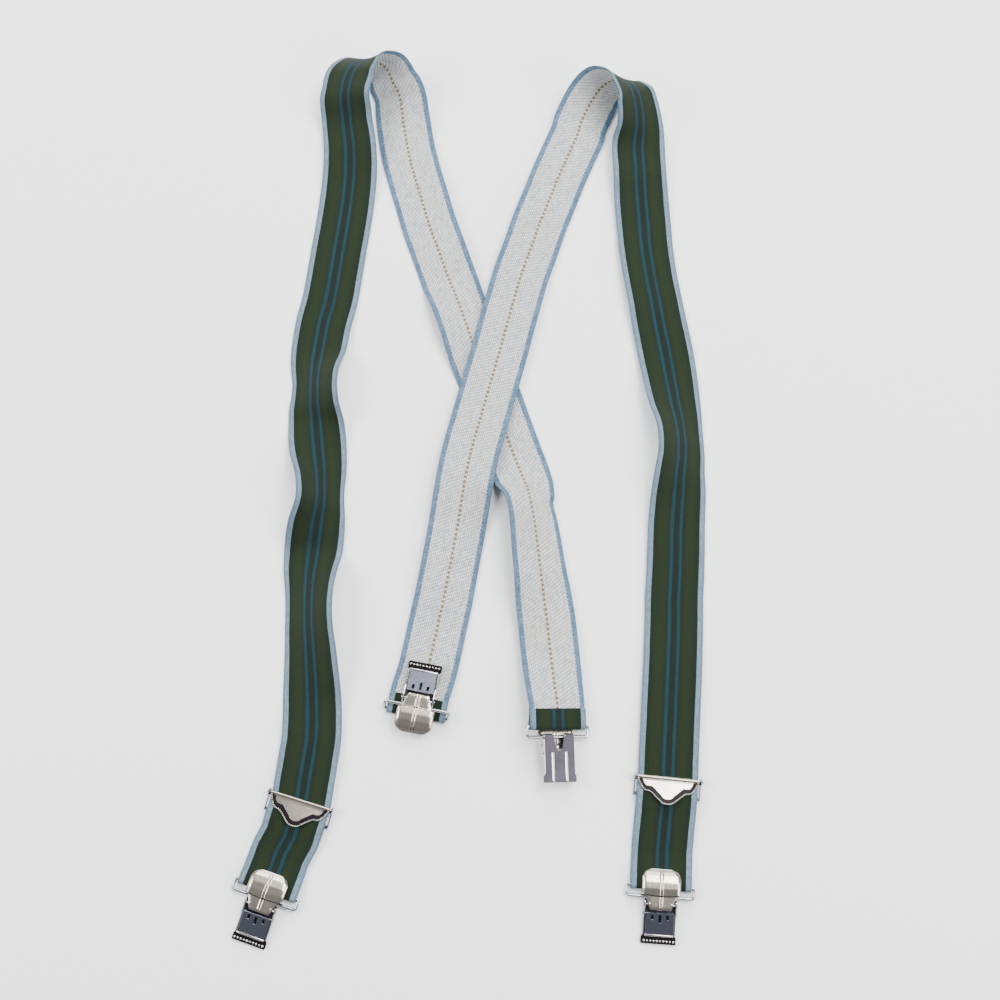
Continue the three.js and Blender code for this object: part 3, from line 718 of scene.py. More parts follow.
def finished_tree(nodes: Nodes, geometry: object, material: object, out: bpy.types.Node) -> None:
    """Ends a tree: smooth shading, then the material."""
    smooth = nodes.add("GeometryNodeSetShadeSmooth", i0=geometry)
    named = nodes.add("GeometryNodeSetMaterial", i0=smooth.outputs[0], Material=material)
    nodes.tree.links.new(named.outputs[0], out.inputs[0])


def repeat_tree(motif: Motif) -> bpy.types.NodeTree:
    """A small solid repeated along the edges of a path."""
    nodes, given, out = geometry_tree(f"repeat_{motif.value}", (
        ("Pitch", "NodeSocketFloat"), ("Size", "NodeSocketVector"), ("Up", "NodeSocketVector"),
        ("Material", "NodeSocketMaterial")))
    curve = nodes.add("GeometryNodeMeshToCurve", i0=given.outputs["Geometry"])
    spaced = nodes.add("GeometryNodeResampleCurve", {"mode": "LENGTH"}, Curve=curve.outputs[0],
                       Length=given.outputs["Pitch"])
    along = nodes.add("FunctionNodeAlignRotationToVector", {"axis": "X"},
                      Vector=nodes.add("GeometryNodeInputTangent").outputs[0])
    facing = nodes.add("FunctionNodeAlignRotationToVector", {"axis": "Z", "pivot_axis": "X"},
                       Rotation=along.outputs[0], Vector=given.outputs["Up"])
    if motif is Motif.BEAD:
        solid = nodes.add("GeometryNodeMeshUVSphere", Segments=12, Rings=8, Radius=0.5)
    else:
        solid = nodes.add("GeometryNodeMeshCone", Vertices=4, Radius_Top=0.32, Radius_Bottom=0.7, Depth=1.0)
    vary = nodes.add("FunctionNodeRandomValue", {"data_type": "FLOAT"})
    for socket in vary.inputs:
        if socket.type == "VALUE" and socket.name in ("Min", "Max"):
            socket.default_value = 0.92 if socket.name == "Min" else 1.06
        if socket.name == "Seed":
            socket.default_value = 7
    shares = [s for s in vary.outputs if s.type == "VALUE"][0]
    sized = nodes.add("ShaderNodeVectorMath", {"operation": "SCALE"}, i0=given.outputs["Size"], Scale=shares)
    placed = nodes.add("GeometryNodeInstanceOnPoints", Points=spaced.outputs[0], Instance=solid.outputs["Mesh"],
                       Rotation=facing.outputs[0], Scale=sized.outputs[0])
    real = nodes.add("GeometryNodeRealizeInstances", i0=placed.outputs[0])
    finished_tree(nodes, real.outputs[0], given.outputs["Material"], out)
    return nodes.tree


def wire_tree() -> bpy.types.NodeTree:
    """Round wire swept along the edges of a path."""
    nodes, given, out = geometry_tree("wire", (("Radius", "NodeSocketFloat"), ("Material", "NodeSocketMaterial")))
    curve = nodes.add("GeometryNodeMeshToCurve", i0=given.outputs["Geometry"])
    profile = nodes.add("GeometryNodeCurvePrimitiveCircle", Resolution=20, Radius=given.outputs["Radius"])
    swept = nodes.add("GeometryNodeCurveToMesh", Curve=curve.outputs[0], Profile_Curve=profile.outputs[0])
    swept.inputs["Fill Caps"].default_value = True
    finished_tree(nodes, swept.outputs[0], given.outputs["Material"], out)
    return nodes.tree


def along_paths(
    name: str, paths: Sequence[np.ndarray], tree: bpy.types.NodeTree, values: dict[str, object], cyclic: bool = False
) -> bpy.types.Object:
    """Runs a tree over paths and keeps the mesh it gives.

    Args:
        name: the piece's name.
        paths: runs of points in millimetres, in the row frame.
        tree: the Geometry Nodes tree.
        values: its inputs by name.
        cyclic: whether each path closes.

    Returns:
        The finished object.
    """
    verts: list[tuple[float, ...]] = []
    edges: list[tuple[int, int]] = []
    for path in paths:
        start = len(verts)
        verts += [tuple(point * MM) for point in path]
        edges += [(start + i, start + i + 1) for i in range(len(path) - 1)]
        if cyclic:
            edges.append((len(verts) - 1, start))
    guide = bpy.data.meshes.new(f"{name}_path")
    guide.from_pydata(verts, edges, [])
    carrier = linked(f"{name}_path", guide)
    modifier = carrier.modifiers.new("nodes", "NODES")
    modifier.node_group = tree
    for socket in tree.interface.items_tree:
        if socket.in_out == "INPUT" and socket.name in values:
            modifier[socket.identifier] = values[socket.name]
    graph = bpy.context.evaluated_depsgraph_get()
    mesh = bpy.data.meshes.new_from_object(carrier.evaluated_get(graph))
    bpy.data.objects.remove(carrier)
    mesh.name = name
    return linked(name, mesh)


def repeated(name: str, paths: Sequence[np.ndarray], motif: Motif, pitch: float, size: Row, up: np.ndarray,
             material: bpy.types.Material) -> bpy.types.Object:
    """Repeats a motif along paths, its pitch and size in millimetres."""
    tree = bpy.data.node_groups.get(f"repeat_{motif.value}") or repeat_tree(motif)
    return along_paths(name, paths, tree, {
        "Pitch": pitch * MM, "Size": tuple(v * MM for v in size), "Up": tuple(up), "Material": material})


# ---------------------------------------------------------------- webbing
def catmull(points: np.ndarray, steps: int) -> np.ndarray:
    """Uniform Catmull-Rom through points, with its ends carried straight on."""
    padded = np.vstack([2 * points[0] - points[1], points, 2 * points[-1] - points[-2]])
    curve = []
    for p0, p1, p2, p3 in zip(padded, padded[1:], padded[2:], padded[3:]):
        for t in np.arange(steps) / steps:
            curve.append(0.5 * (2 * p1 + (p2 - p0) * t + (2 * p0 - 5 * p1 + 4 * p2 - p3) * t * t
                                + (3 * p1 - p0 - 3 * p2 + p3) * t ** 3))
    return np.array([*curve, points[-1]])


def across_vector(azimuth: float, lean: float) -> np.ndarray:
    """The direction across webbing turned azimuth degrees from +X, its right edge raised by lean degrees."""
    a, b = math.radians(azimuth), math.radians(lean)
    return np.array([math.cos(b) * math.cos(a), math.cos(b) * math.sin(a), math.sin(b)])


def arc(radius: float, y: float, z: float, a0: float, a1: float, steps: int = 12) -> list[tuple[float, float]]:
    """Points of an arc in the plane of up and outer."""
    angles = np.radians(np.linspace(a0, a1, steps + 1))
    return [(y + radius * math.cos(a), z + radius * math.sin(a)) for a in angles]


@dataclass
class Run:
    """Stations of webbing: its middle and the vector across it, in millimetres in the row frame."""

    centres: np.ndarray
    across: np.ndarray

    @staticmethod
    def joined(*runs: "Run") -> "Run":
        """Several runs as one."""
        return Run(np.vstack([r.centres for r in runs]), np.vstack([r.across for r in runs]))

    @staticmethod
    def at(place: Place, points: Outline, sense: int = 1, rise: float = 0.0) -> "Run":
        """Stations at a place, from y and z there."""
        centres = np.array([place.at(0, y, z - rise) for y, z in points])
        return Run(centres, np.tile(sense * place.right, (len(points), 1)))

    def smoothed(self, steps: int) -> "Run":
        """The run with more stations between its own."""
        return Run(catmull(self.centres, steps), catmull(self.across, steps))


def laid(rows: Sequence[Row], shift: np.ndarray) -> Run:
    """Stations on the table: x, y, azimuth, lean and the lift of the lower edge."""
    half = WEB_WIDTH / 2
    centres = [(x, y, WEB_THICKNESS / 2 + lift + half * abs(math.sin(math.radians(lean))))
               for x, y, _, lean, lift in rows]
    return Run(np.array(centres) + shift, np.array([across_vector(row[2], row[3]) for row in rows]))


def raised(rows: Sequence[Row], shift: np.ndarray) -> Run:
    """Stations in the air: x, y, z, azimuth and lean."""
    across = np.array([across_vector(row[3], row[4]) for row in rows])
    return Run(np.array([row[:3] for row in rows]) + shift, across)


@dataclass
class Webbing:
    """One length of woven strap with its two faces."""

    name: str
    run: Run
    columns: int = 14
    ripple: float = 0.0
    travel: np.ndarray = field(init=False)
    normal: np.ndarray = field(init=False)
    length: np.ndarray = field(init=False)

    def __post_init__(self) -> None:
        """Squares the stations and lifts what would dip into the table."""
        centres = self.run.centres
        ahead = np.vstack([centres[1:], centres[-1:]])
        behind = np.vstack([centres[:1], centres[:-1]])
        self.travel = np.array([unit(v) for v in ahead - behind])
        along = (self.run.across * self.travel).sum(1)[:, None]
        self.run.across = np.array([unit(v) for v in self.run.across - along * self.travel])
        self.normal = np.cross(self.run.across, self.travel)
        reach = WEB_WIDTH / 2 * abs(self.run.across[:, 2]) + WEB_THICKNESS / 2 * abs(self.normal[:, 2])
        self.run.centres[:, 2] += np.maximum(reach - centres[:, 2], 0)
        steps = np.linalg.norm(np.diff(self.run.centres, axis=0), axis=1)
        self.length = np.concatenate([[0], np.cumsum(steps)])

    def section(self) -> list[tuple[float, float, int]]:
        """Offsets across and out, with the face that starts there: 0 patterned, 1 pale."""
        edge = WEB_THICKNESS / 2
        flat = WEB_WIDTH / 2 - edge
        over = [(x, edge, 0) for x in np.linspace(-flat, flat, self.columns + 1)]
        right = [(flat + edge * math.sin(a), edge * math.cos(a), 0) for a in np.radians([45, 90, 135])]
        under = [(x, -edge, 1) for x in np.linspace(flat, -flat, self.columns + 1)]
        left = [(-flat - edge * math.sin(a), edge * math.cos(a), 0) for a in np.radians([135, 90, 45])]
        return [*over, *right, *[(x, n, kind) for x, n, kind in under[:-1]], (*under[-1][:2], 0), *left]

    def point(self, station: int, x: float, n: float) -> np.ndarray:
        """A point of the section at a station, its edges lifted a little here and there."""
        base = self.run.centres[station] + x * self.run.across[station] + n * self.normal[station]
        s = self.length[station]
        ends = min(1.0, s / 60, (self.length[-1] - s) / 60)
        wave = 0.5 + 0.5 * math.sin(s / 23 + (1.3 if x > 0 else 0)) * math.sin(s / 61 + 0.4)
        lift = self.ripple * ends * wave * abs(2 * x / WEB_WIDTH) ** 3
        return base + np.array([0, 0, lift])

    def made(self) -> bpy.types.Object:
        """Builds the closed mesh with its weave coordinates in millimetres."""
        section = self.section()
        count, stations = len(section), len(self.run.centres)
        verts = [tuple(self.point(i, x, n) * MM) for i in range(stations) for x, n, _ in section]
        faces, kinds = [], []
        for i in range(stations - 1):
            for j, (_, _, kind) in enumerate(section):
                a, b = i * count + j, i * count + (j + 1) % count
                faces.append((a, b, b + count, a + count))
                kinds.append(kind)
        faces += [tuple(range(count))[::-1], tuple(range((stations - 1) * count, stations * count))]
        kinds += [1, 1]
        mesh = bpy.data.meshes.new(self.name)
        mesh.from_pydata(verts, [], faces)
        mesh.materials.append(bpy.data.materials.get("braid_face") or BraidFace().build())
        mesh.materials.append(bpy.data.materials.get("twill_back") or TwillBack().build())
        mesh.polygons.foreach_set("material_index", kinds)
        weave = mesh.uv_layers.new(name="weave")
        for loop in mesh.loops:
            station, j = divmod(loop.vertex_index, count)
            weave.uv[loop.index].vector = (section[j][0] + WEB_WIDTH / 2, self.length[station])
        return linked(self.name, closed(mesh))

    def stitch_row(self, station: int, outward: float, half: float = 15.5) -> np.ndarray:
        """A row of stitching across the webbing at a station, raised on its outer or inner face."""
        x = np.linspace(-half, half, 24)
        side = outward * (WEB_THICKNESS / 2 + 0.05)
        return np.array([self.point(station, v, side) for v in x])

    def nearest(self, target: np.ndarray, start: int = 0) -> int:
        """The station nearest a point, no earlier than start."""
        return start + int(np.argmin(np.linalg.norm(self.run.centres[start:] - target, axis=1)))


# ---------------------------------------------------------------- strap routes, as laid before centring
LEFT_FRONT: Sequence[Row] = (
    (-120.6, -185.2, -12, 0, 2.6), (-118.8, -172, -8, 0, 2.6), (-117.0, -159, -8, 0, 2.6),
    (-116.0, -151, -6, 0, 2.6), (-115.8, -140, -1, 2, 1.5), (-116.2, -127, 2, 6, 0.3), (-116.8, -112, 3, 16, 0),
    (-117.6, -97, 4, 24, 0), (-118.8, -82, 3, 30, 0), (-119.2, -66, 0, 31, 0), (-119.0, -50, -3, 22, 0.5),
    (-118.3, -34, -4, 0, 2), (-116.0, -18, -5, -22, 1), (-113.5, -3, -1, -42, 0), (-114.0, 13, 4, -38, 0),
    (-116.6, 31, 5, -15, 0.5), (-118.6, 49, 4, 8, 1), (-119.6, 64, 2, 28, 0), (-119.4, 81, -4, 30, 0),
    (-118.4, 100, -7, 8, 0.5), (-116.0, 118, -10, 2, 1), (-112.3, 135, -10, 0, 0.5), (-109.7, 153, -8, 0, 0.3),
    (-107.4, 170, -8, 0, 0.3), (-104.8, 188, -7, 0, 0.5), (-102.6, 206, -5, 0, 1), (-101.0, 224, -2, 4, 2),
    (-101.0, 241, 1, 12, 3.5),
)
LEFT_SHOULDER: Sequence[Row] = (
    (-103.0, 259, 11.5, 0, 20), (-103.4, 271.5, 22, 0, 25), (-101.0, 283.5, 24.5, -10, 20),
    (-96.5, 292.5, 24, -13, 25), (-88, 298.5, 21, -11, 29), (-77.5, 296.5, 15, -8, 33), (-72.2, 287, 10, 0, 25),
    (-67.8, 278, 6.5, 1, 17), (-65.8, 263.5, 3.3, 3.5, 8),
)
LEFT_BACK: Sequence[Row] = (
    (-62.4, 242.5, 12, 2, 0.3), (-57.4, 222, 15, 5, 0.3), (-52.4, 205, 16, 6, 0.3), (-47.2, 187, 18, 6, 0.3),
    (-40.9, 169, 20, 8, 0.3), (-34.5, 151, 21, 4, 0.3), (-27.9, 133, 20, -12, 0.3), (-21.6, 115, 19, -13, 0.3),
    (-15.8, 98, 19, -4, 0.3), (-9.8, 82, 19, 0, 0.3), (-3.6, 65, 19, 0, 0.3), (2.2, 48, 19, 0, 0.3),
    (8.2, 31, 18, 0, 0.2), (11.6, 22, 17, -3, 0.1), (14.9, 13, 16, -10, 0), (17.4, 5, 14, -25, 0),
    (19.2, -4, 12, -37, 0), (21.8, -19, 8, -33, 0), (23.6, -34, 7, -28, 0.5), (25.6, -50, 7, -24, 1),
    (27.5, -65, 6, -14, 1.5), (29.4, -80, 6, -8, 2), (31.0, -96, 5, -8, 2.5), (32.7, -112, 4, -12, 3.2),
)
RIGHT_FRONT: Sequence[Row] = (
    (102.9, -171.5, -4.4, 0, 2.6), (103.8, -157, -4, 0, 2.6), (104.9, -142, -4, 0, 2.6), (105.9, -127, -4, 0, 2.6),
    (107.0, -112, -4, 0, 2.6), (108.0, -97, -3, -1, 1.8), (109.0, -80, -3, -1, 0.8), (109.6, -64, -3, -2, 0.4),
    (110.8, -48, -3, -3, 0.3), (111.6, -33, -4, -4, 0.3), (112.3, -17, -4, -6, 0.3), (113.6, 0, -5, -12, 0.3),
    (114.6, 15, -5, -24, 0.2), (116.0, 30, -2, -31, 0), (115.1, 47, 6, -31, 0), (112.6, 64, 9, -19, 0.3),
    (110.4, 82, 9, -9, 0.8), (107.9, 100, 9, -3, 1.2), (104.9, 117, 9, -5, 0.8), (102.2, 134, 9, -9, 0.4),
    (99.4, 151, 8, -9, 0.4), (97.2, 169, 6, -7, 0.5), (96.0, 188, 4, -4, 0.8), (94.8, 206, 3, -5, 1.5),
    (93.9, 224, 1, -10, 3), (93.3, 242, -2, -10, 3),
)
RIGHT_SHOULDER: Sequence[Row] = (
    (94, 255.4, 13, 6, -29), (92, 267.7, 19.5, 16, -35), (89, 275.5, 23, 14, -39), (82, 283.2, 22.5, 2, -39),
    (74.5, 285, 17.5, -5, -37), (67.2, 281.5, 12.3, -12, -28), (60.9, 273, 7.3, -17, -18),
    (54.8, 260.7, 3.8, -21, -10),
)
RIGHT_BACK: Sequence[Row] = (
    (52.3, 252, -20, -7, 0.5), (47.0, 240, -20, -4, 0.4), (39.8, 223, -21, -5, 0.3), (32.6, 204, -20, -8, 0.3),
    (26.1, 187, -19, -8, 0.6), (20.2, 169, -19, -10, 1.2), (14.0, 151, -17, -9, 2.2), (8.9, 133, -16, -6, 3),
    (4.4, 116, -15, -3, 3.6), (-0.3, 98, -15, -2, 3.6), (-5.0, 81, -15, -3, 3.4), (-9.6, 64, -15, -5, 3.6),
    (-14.2, 47, -15, -5, 4.5), (-18.4, 31, -13, -5, 5.8), (-21.7, 15, -10, -5, 6.8), (-24.4, -1, -9, -7, 4.4),
    (-27.1, -18, -10, -9, 1.2), (-29.9, -34, -10, -11, 0.4), (-32.8, -50, -10, -10, 0.3), (-35.6, -65, -11, -7, 0.3),
    (-38.9, -80, -12, -3, 0.3), (-42.2, -96, -12, -3, 0.6), (-45.4, -110, -11, -1, 1.6),
)
# The left cover's hinge in the stations' frame; the joint gives it in the row frame.
COVER_HINGE_AS_LAID = np.array([-121.092372, -187.956305, 5.2])
FOLD = 1.8
HEM_END = 10.6
UNDER_ADJUSTER = 3.2
BAR_HEIGHT = 2.95
TAIL = 1.3


@dataclass(frozen=True)
class Side:
    """One strap with what it carries: its rows and the direction it shortens along."""

    name: str
    front: Sequence[Row]
    shoulder: Sequence[Row]
    back: Sequence[Row]
    pull: tuple[float, float]
    still: float
    moved: float


SIDES = (
    Side("left", LEFT_FRONT, LEFT_SHOULDER, LEFT_BACK, (-0.7, -0.714), 100, 207),
    Side("right", RIGHT_FRONT, RIGHT_SHOULDER, RIGHT_BACK, (0.7, -0.714), 80, 181),
)


class Strap:
    """A long strap from its adjuster, over the shoulder and down to the back clip."""

    def __init__(self, side: Side, shift: np.ndarray) -> None:
        """Lays out the strap's stations."""
        self.side = side
        self.shift = shift
        adjuster, bar_at = adjuster_place(side.name), bar_place(f"{side.name}_back")
        start = Run.at(adjuster, [(-6, UNDER_ADJUSTER), (-3, UNDER_ADJUSTER)])
        fold = [(10.6, -0.3), (7.5, -0.2), (3.5, 1.2), *arc(FOLD, 0, 0, 90, 270), (5, -FOLD), (HEM_END, -FOLD)]
        approach = Run.at(bar_at, [(14, -0.3)], -1)
        middle = Run.joined(Run(start.centres[1:], start.across[1:]), laid(side.front, shift),
                            raised(side.shoulder, shift), laid(side.back, shift), approach).smoothed(6)
        foot = Run.at(bar_at, fold, -1)
        run = Run.joined(Run(start.centres[:1], start.across[:1]), middle, foot)
        self.webbing = Webbing(f"{side.name}_strap", run, ripple=0.35)
        self.bar_at = bar_at

    def build(self, floor: bpy.types.Object) -> float:
        """Makes the strap and its hem stitching.

        Args:
            floor: what it rests on; not used.

        Returns:
            The strap's length in millimetres.
        """
        name, webbing = self.side.name, self.webbing
        strap = webbing.made()
        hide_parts(*[f"{name}_strap_{part}" for part in ("front", "shoulder", "back")])
        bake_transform(strap)
        rows = []
        for y, half in ((8.6, 16.0), (7.2, 16.0)):
            first = webbing.nearest(self.bar_at.at(0, y, -0.3), len(webbing.length) // 2)
            rows.append(webbing.stitch_row(first, 1, half))
        thread = bpy.data.materials.get("sewing_thread") or SewingThread().build()
        stitches = repeated(f"{name}_hem_stitches", rows, Motif.BEAD, 2.3, (1.7, 0.42, 0.36),
                            self.bar_at.outer, thread)
        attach(stitches, "straps")
        return float(webbing.length[-1])


class FrontLoop:
    """The doubled lower webbing between an adjuster and its front ring."""

    def __init__(self, side: str) -> None:
        """Lays out the loop's stations."""
        self.side = side
        adjuster, bar_at = adjuster_place(side), bar_place(f"{side}_front")
        self.ends = adjuster.at(0, -12.5, 2), bar_at.at(0, 4, 0)
        top = [(-6.3, UNDER_ADJUSTER), (-7.6, 3.65), (-9, 4.3), (-10.5, 4.75), (-12.5, 4.75), (-16, 4.25), (-20, 3.8),
               (-23.5, 3.2)]
        foot = [(22, 2.1), (16, 2.1), (8, 3.4), (4, 4.4)]
        fold = [(y, z + BAR_HEIGHT) for y, z in arc(FOLD, 0, 0, 90, 270)]
        under = [(6, 0.85), (14, 0.6), (24, 0.6)]
        back = [(-22, 0.6), (-14, 0.6)]
        tail = arc(TAIL, -10.5, WEB_THICKNESS / 2 + TAIL, -90, 90)
        hem = [(-12.5, 3.2), (-16, 2.25), (-18, 2.1), (-20.3, 2.1)]
        run = Run.joined(
            Run.at(adjuster, top, -1), Run.at(bar_at, [*foot, *fold, *under], -1, BAR_HEIGHT),
            Run.at(adjuster, [*back, *tail, *hem], -1))
        self.webbing = Webbing(f"{side}_front_loop_webbing", run.smoothed(2))

    def build(self) -> float:
        """Makes the loop and returns its length in millimetres."""
        side = self.side
        loop = self.webbing.made()
        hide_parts(f"{side}_front_loop")
        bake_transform(loop)
        return float(self.webbing.length[-1])


# ---------------------------------------------------------------- hardware
@dataclass(frozen=True)
class RingSize:
    """The wire rectangle that joins webbing and clip."""

    half_width: float = 20.2
    spacing: float = 6.5
    corner: float = 2.0
    wire: float = 0.95

    def path(self, place: Place) -> np.ndarray:
        """The wire's middle line in the row frame."""
        points = []
        for side, top, start in ((1, 1, 0), (-1, 1, 90), (-1, 0, 180), (1, 0, 270)):
            x = side * (self.half_width - self.corner)
            y = self.spacing - self.corner if top else self.corner
            for angle in np.radians(np.linspace(start, start + 90, 9)):
                points.append(place.at(x + self.corner * math.cos(angle), y + self.corner * math.sin(angle), 0))
        return np.array(points)


def rounding(x: np.ndarray, y: np.ndarray, half: np.ndarray, top: float, reach: float) -> np.ndarray:
    """How far into an edge's roll each grid point is, from 0 well inside to 1 on the edge."""
    inside = np.minimum(half - abs(x), top - y)
    return np.clip(1 - inside / reach, 0, 1) ** 2.2


@dataclass(frozen=True)
class ClipSize:
    """The over-centre clip's sheet-metal sizes."""

    dome_half: float = 11.6
    dome_top: float = 16.3
    dome_corner: float = 6.0
    tongue_foot: float = -7.3
    sheet: float = 0.8
    back_half: float = 9.6
    back_foot: float = -27.1
    pin_half: float = 10.2
    pair_offset: float = 0.85
    pair_line: float = 0.17
    step_line: float = 0.2

    def lever(self, solid: Solid) -> Solid:
        """The pressed dome and tongue, with ears round the pin."""
        y = np.concatenate([np.linspace(self.tongue_foot, -0.6, 16), np.linspace(-0.3, 2.4, 16),
                            np.linspace(2.9, self.dome_top, 44)])
        below = self.dome_top - self.dome_corner
        round_off = np.sqrt(np.clip(self.dome_corner ** 2 - np.clip(y - below, 0, None) ** 2, 0, None))
        dome = np.where(y > below, self.dome_half - self.dome_corner + round_off, self.dome_half)
        tongue = np.interp(y, [self.tongue_foot, 1.2], [6.3, 9.4])
        flare = np.clip((y - 0.9) / 0.7, 0, 1)
        half = tongue + (dome - tongue) * flare * flare * (3 - 2 * flare)
        middle_pair = np.linspace(-1.5, 1.5, 21) / self.dome_half
        flank = np.sin(np.linspace(0, 1, 24)[1:] * math.pi / 2) * (1 - middle_pair[-1]) + middle_pair[-1]
        s = np.concatenate([-flank[::-1], middle_pair, flank])
        x, ys = half[:, None] * s[None, :], np.repeat(y[:, None], s.size, 1)
        height = np.interp(y, [self.tongue_foot, -6.4, 1.0, 5, 9, 13, self.dome_top],
                           [4.2, 4.66, 4.68, 5.25, 5.05, 3.95, 1.95])
        z = np.repeat(catmull_smooth(height)[:, None], s.size, 1)
        step = 1 / (1 + np.exp(-(ys - (0.7 + 0.9 * (x / self.dome_half) ** 2)) / 0.16))
        z = z - 0.3 * (1 - step)
        halves = np.repeat(half[:, None], s.size, 1)
        roll = rounding(x, ys, halves, self.dome_top + 0.01, 2.6)
        depth = np.interp(ys, [self.tongue_foot, 1.0, 2.0, 9.0, 14.0, self.dome_top],
                          [0.25, 0.3, 1.15, 1.25, 0.7, 0.45])
        z = z - depth * roll
        ridges = np.exp(-((abs(x) - self.pair_offset) / 0.24) ** 2)
        z = z + 0.2 * ridges * np.interp(ys, [self.tongue_foot, -6, 13, 15.6], [0, 1, 1, 0])
        verts, faces = shell(x, ys, z, self.sheet)
        count = x.size
        # Faces on the pressed lines take the near-black finish: painted shade in the creases.
        lines = []
        for face in faces:
            middle = np.mean([verts[v] for v in face], 0)
            split = 0.7 + 0.9 * (middle[0] / self.dome_half) ** 2
            pair = abs(abs(middle[0]) - self.pair_offset) < self.pair_line and -6.4 < middle[1] < 14.6
            on_line = pair or abs(middle[1] - split) < self.step_line
            lines.append(1 if max(face) < count and on_line else 0)
        solid.add((verts, faces), lines)
        for side in (-7.0, 6.2):
            solid.add(tube(2.0, 1.0, side, side + self.sheet, *LEVER_PIVOT))
        return solid

    def base(self, solid: Solid) -> Solid:
        """The back plate with its legs, eyes, cheeks, ribs and toothed lip."""
        half = self.back_half
        outline = [(half, 0.4), (3.9, 0.4), (1.9, -8.4), (-1.9, -8.4), (-3.9, 0.4), (-half, 0.4), (-half, -22.6),
                   (-10.4, -23.2), (-10.4, self.back_foot), (10.4, self.back_foot), (10.4, -23.2), (half, -22.6)]
        solid.add(plate(rounded(outline, 0.6)[::-1], -2.3, -1.4))
        cheek = [(-1.2, -2.2), (-22, -2.2), (-22, 0.5), (-12, 1.2), (-8.5, 3.1), (-6, 4.5), (-2.4, 4.5), (-1.2, 2.6)]
        for side in (8.95, -9.75):
            solid.add(wall(rounded(cheek, 0.5)[::-1], side, side + self.sheet), 2)
        for x0, x1 in ((4.0, half), (-half, -4.0)):
            solid.add(tube(2.1, 1.2, x0, x1, 0, 0), 2)
        # The block under the toothed lip takes the near-black finish: painted shade in the gap behind the teeth.
        solid.add(box((-10.4, self.back_foot, -1.55), (10.4, -22.9, -0.3), 0.35), 1)
        for x in (-4.4, 4.4):
            foot = self.back_foot + 0.1
            rib = rounded([(x - 0.9, foot), (x + 0.9, foot), (x + 0.9, -9), (x - 0.9, -9)], 0.8)
            solid.add(plate(rib, -2.88, -2.2, bevel=0.35), 2)
        return solid

    def jaw(self, solid: Solid) -> Solid:
        """The inner plate that presses down, with slots and a rolled edge."""
        length, tilt = 12.8, math.atan2(1.6, 12.7)
        outline = rounded([(-8.6, 0), (-8.6, -length), (8.6, -length), (8.6, 0)], 0.5)
        slots = []
        for x, reach in ((-4.6, 2.6), (0, 4.4), (4.6, 2.6)):
            slot_shape = [(x - 0.75, -1.3), (x - 0.75, -1.3 - reach), (x + 0.75, -1.3 - reach), (x + 0.75, -1.3)]
            slots.append(rounded(slot_shape, 0.4)[::-1])
        verts, faces = plate(outline, 0, self.sheet, slots)
        leaned = [(x, -8.9 + y * math.cos(tilt) - z * math.sin(tilt), 2.5 + y * math.sin(tilt) + z * math.cos(tilt))
                  for x, y, z in verts]
        solid.add((leaned, faces))
        solid.add(bar(0.85, -8.6, 8.6, -22, 0.95), 1)
        for side in (-8.2, 7.4):
            solid.add(tube(1.6, 0.9, side, side + self.sheet, *JAW_PIVOT))
            ear = [(-8.9, 3.0), (-12.4, 2.4), (-10.6, 0.9), (-8.4, 0.9)]
            solid.add(wall(rounded(ear, 0.3), side, side + self.sheet))
        return solid

    def teeth(self, place: Place) -> list[np.ndarray]:
        """The rows of teeth on the lip."""
        return [np.array([place.at(x, -25.2, 0.0) for x in np.linspace(-8.8, 8.8, 12)])]


def catmull_smooth(values: np.ndarray) -> np.ndarray:
    """Softens the corners of a row of heights."""
    kernel = np.array([1, 2, 3, 2, 1]) / 9
    return np.convolve(np.pad(values, 2, mode="edge"), kernel, mode="valid")


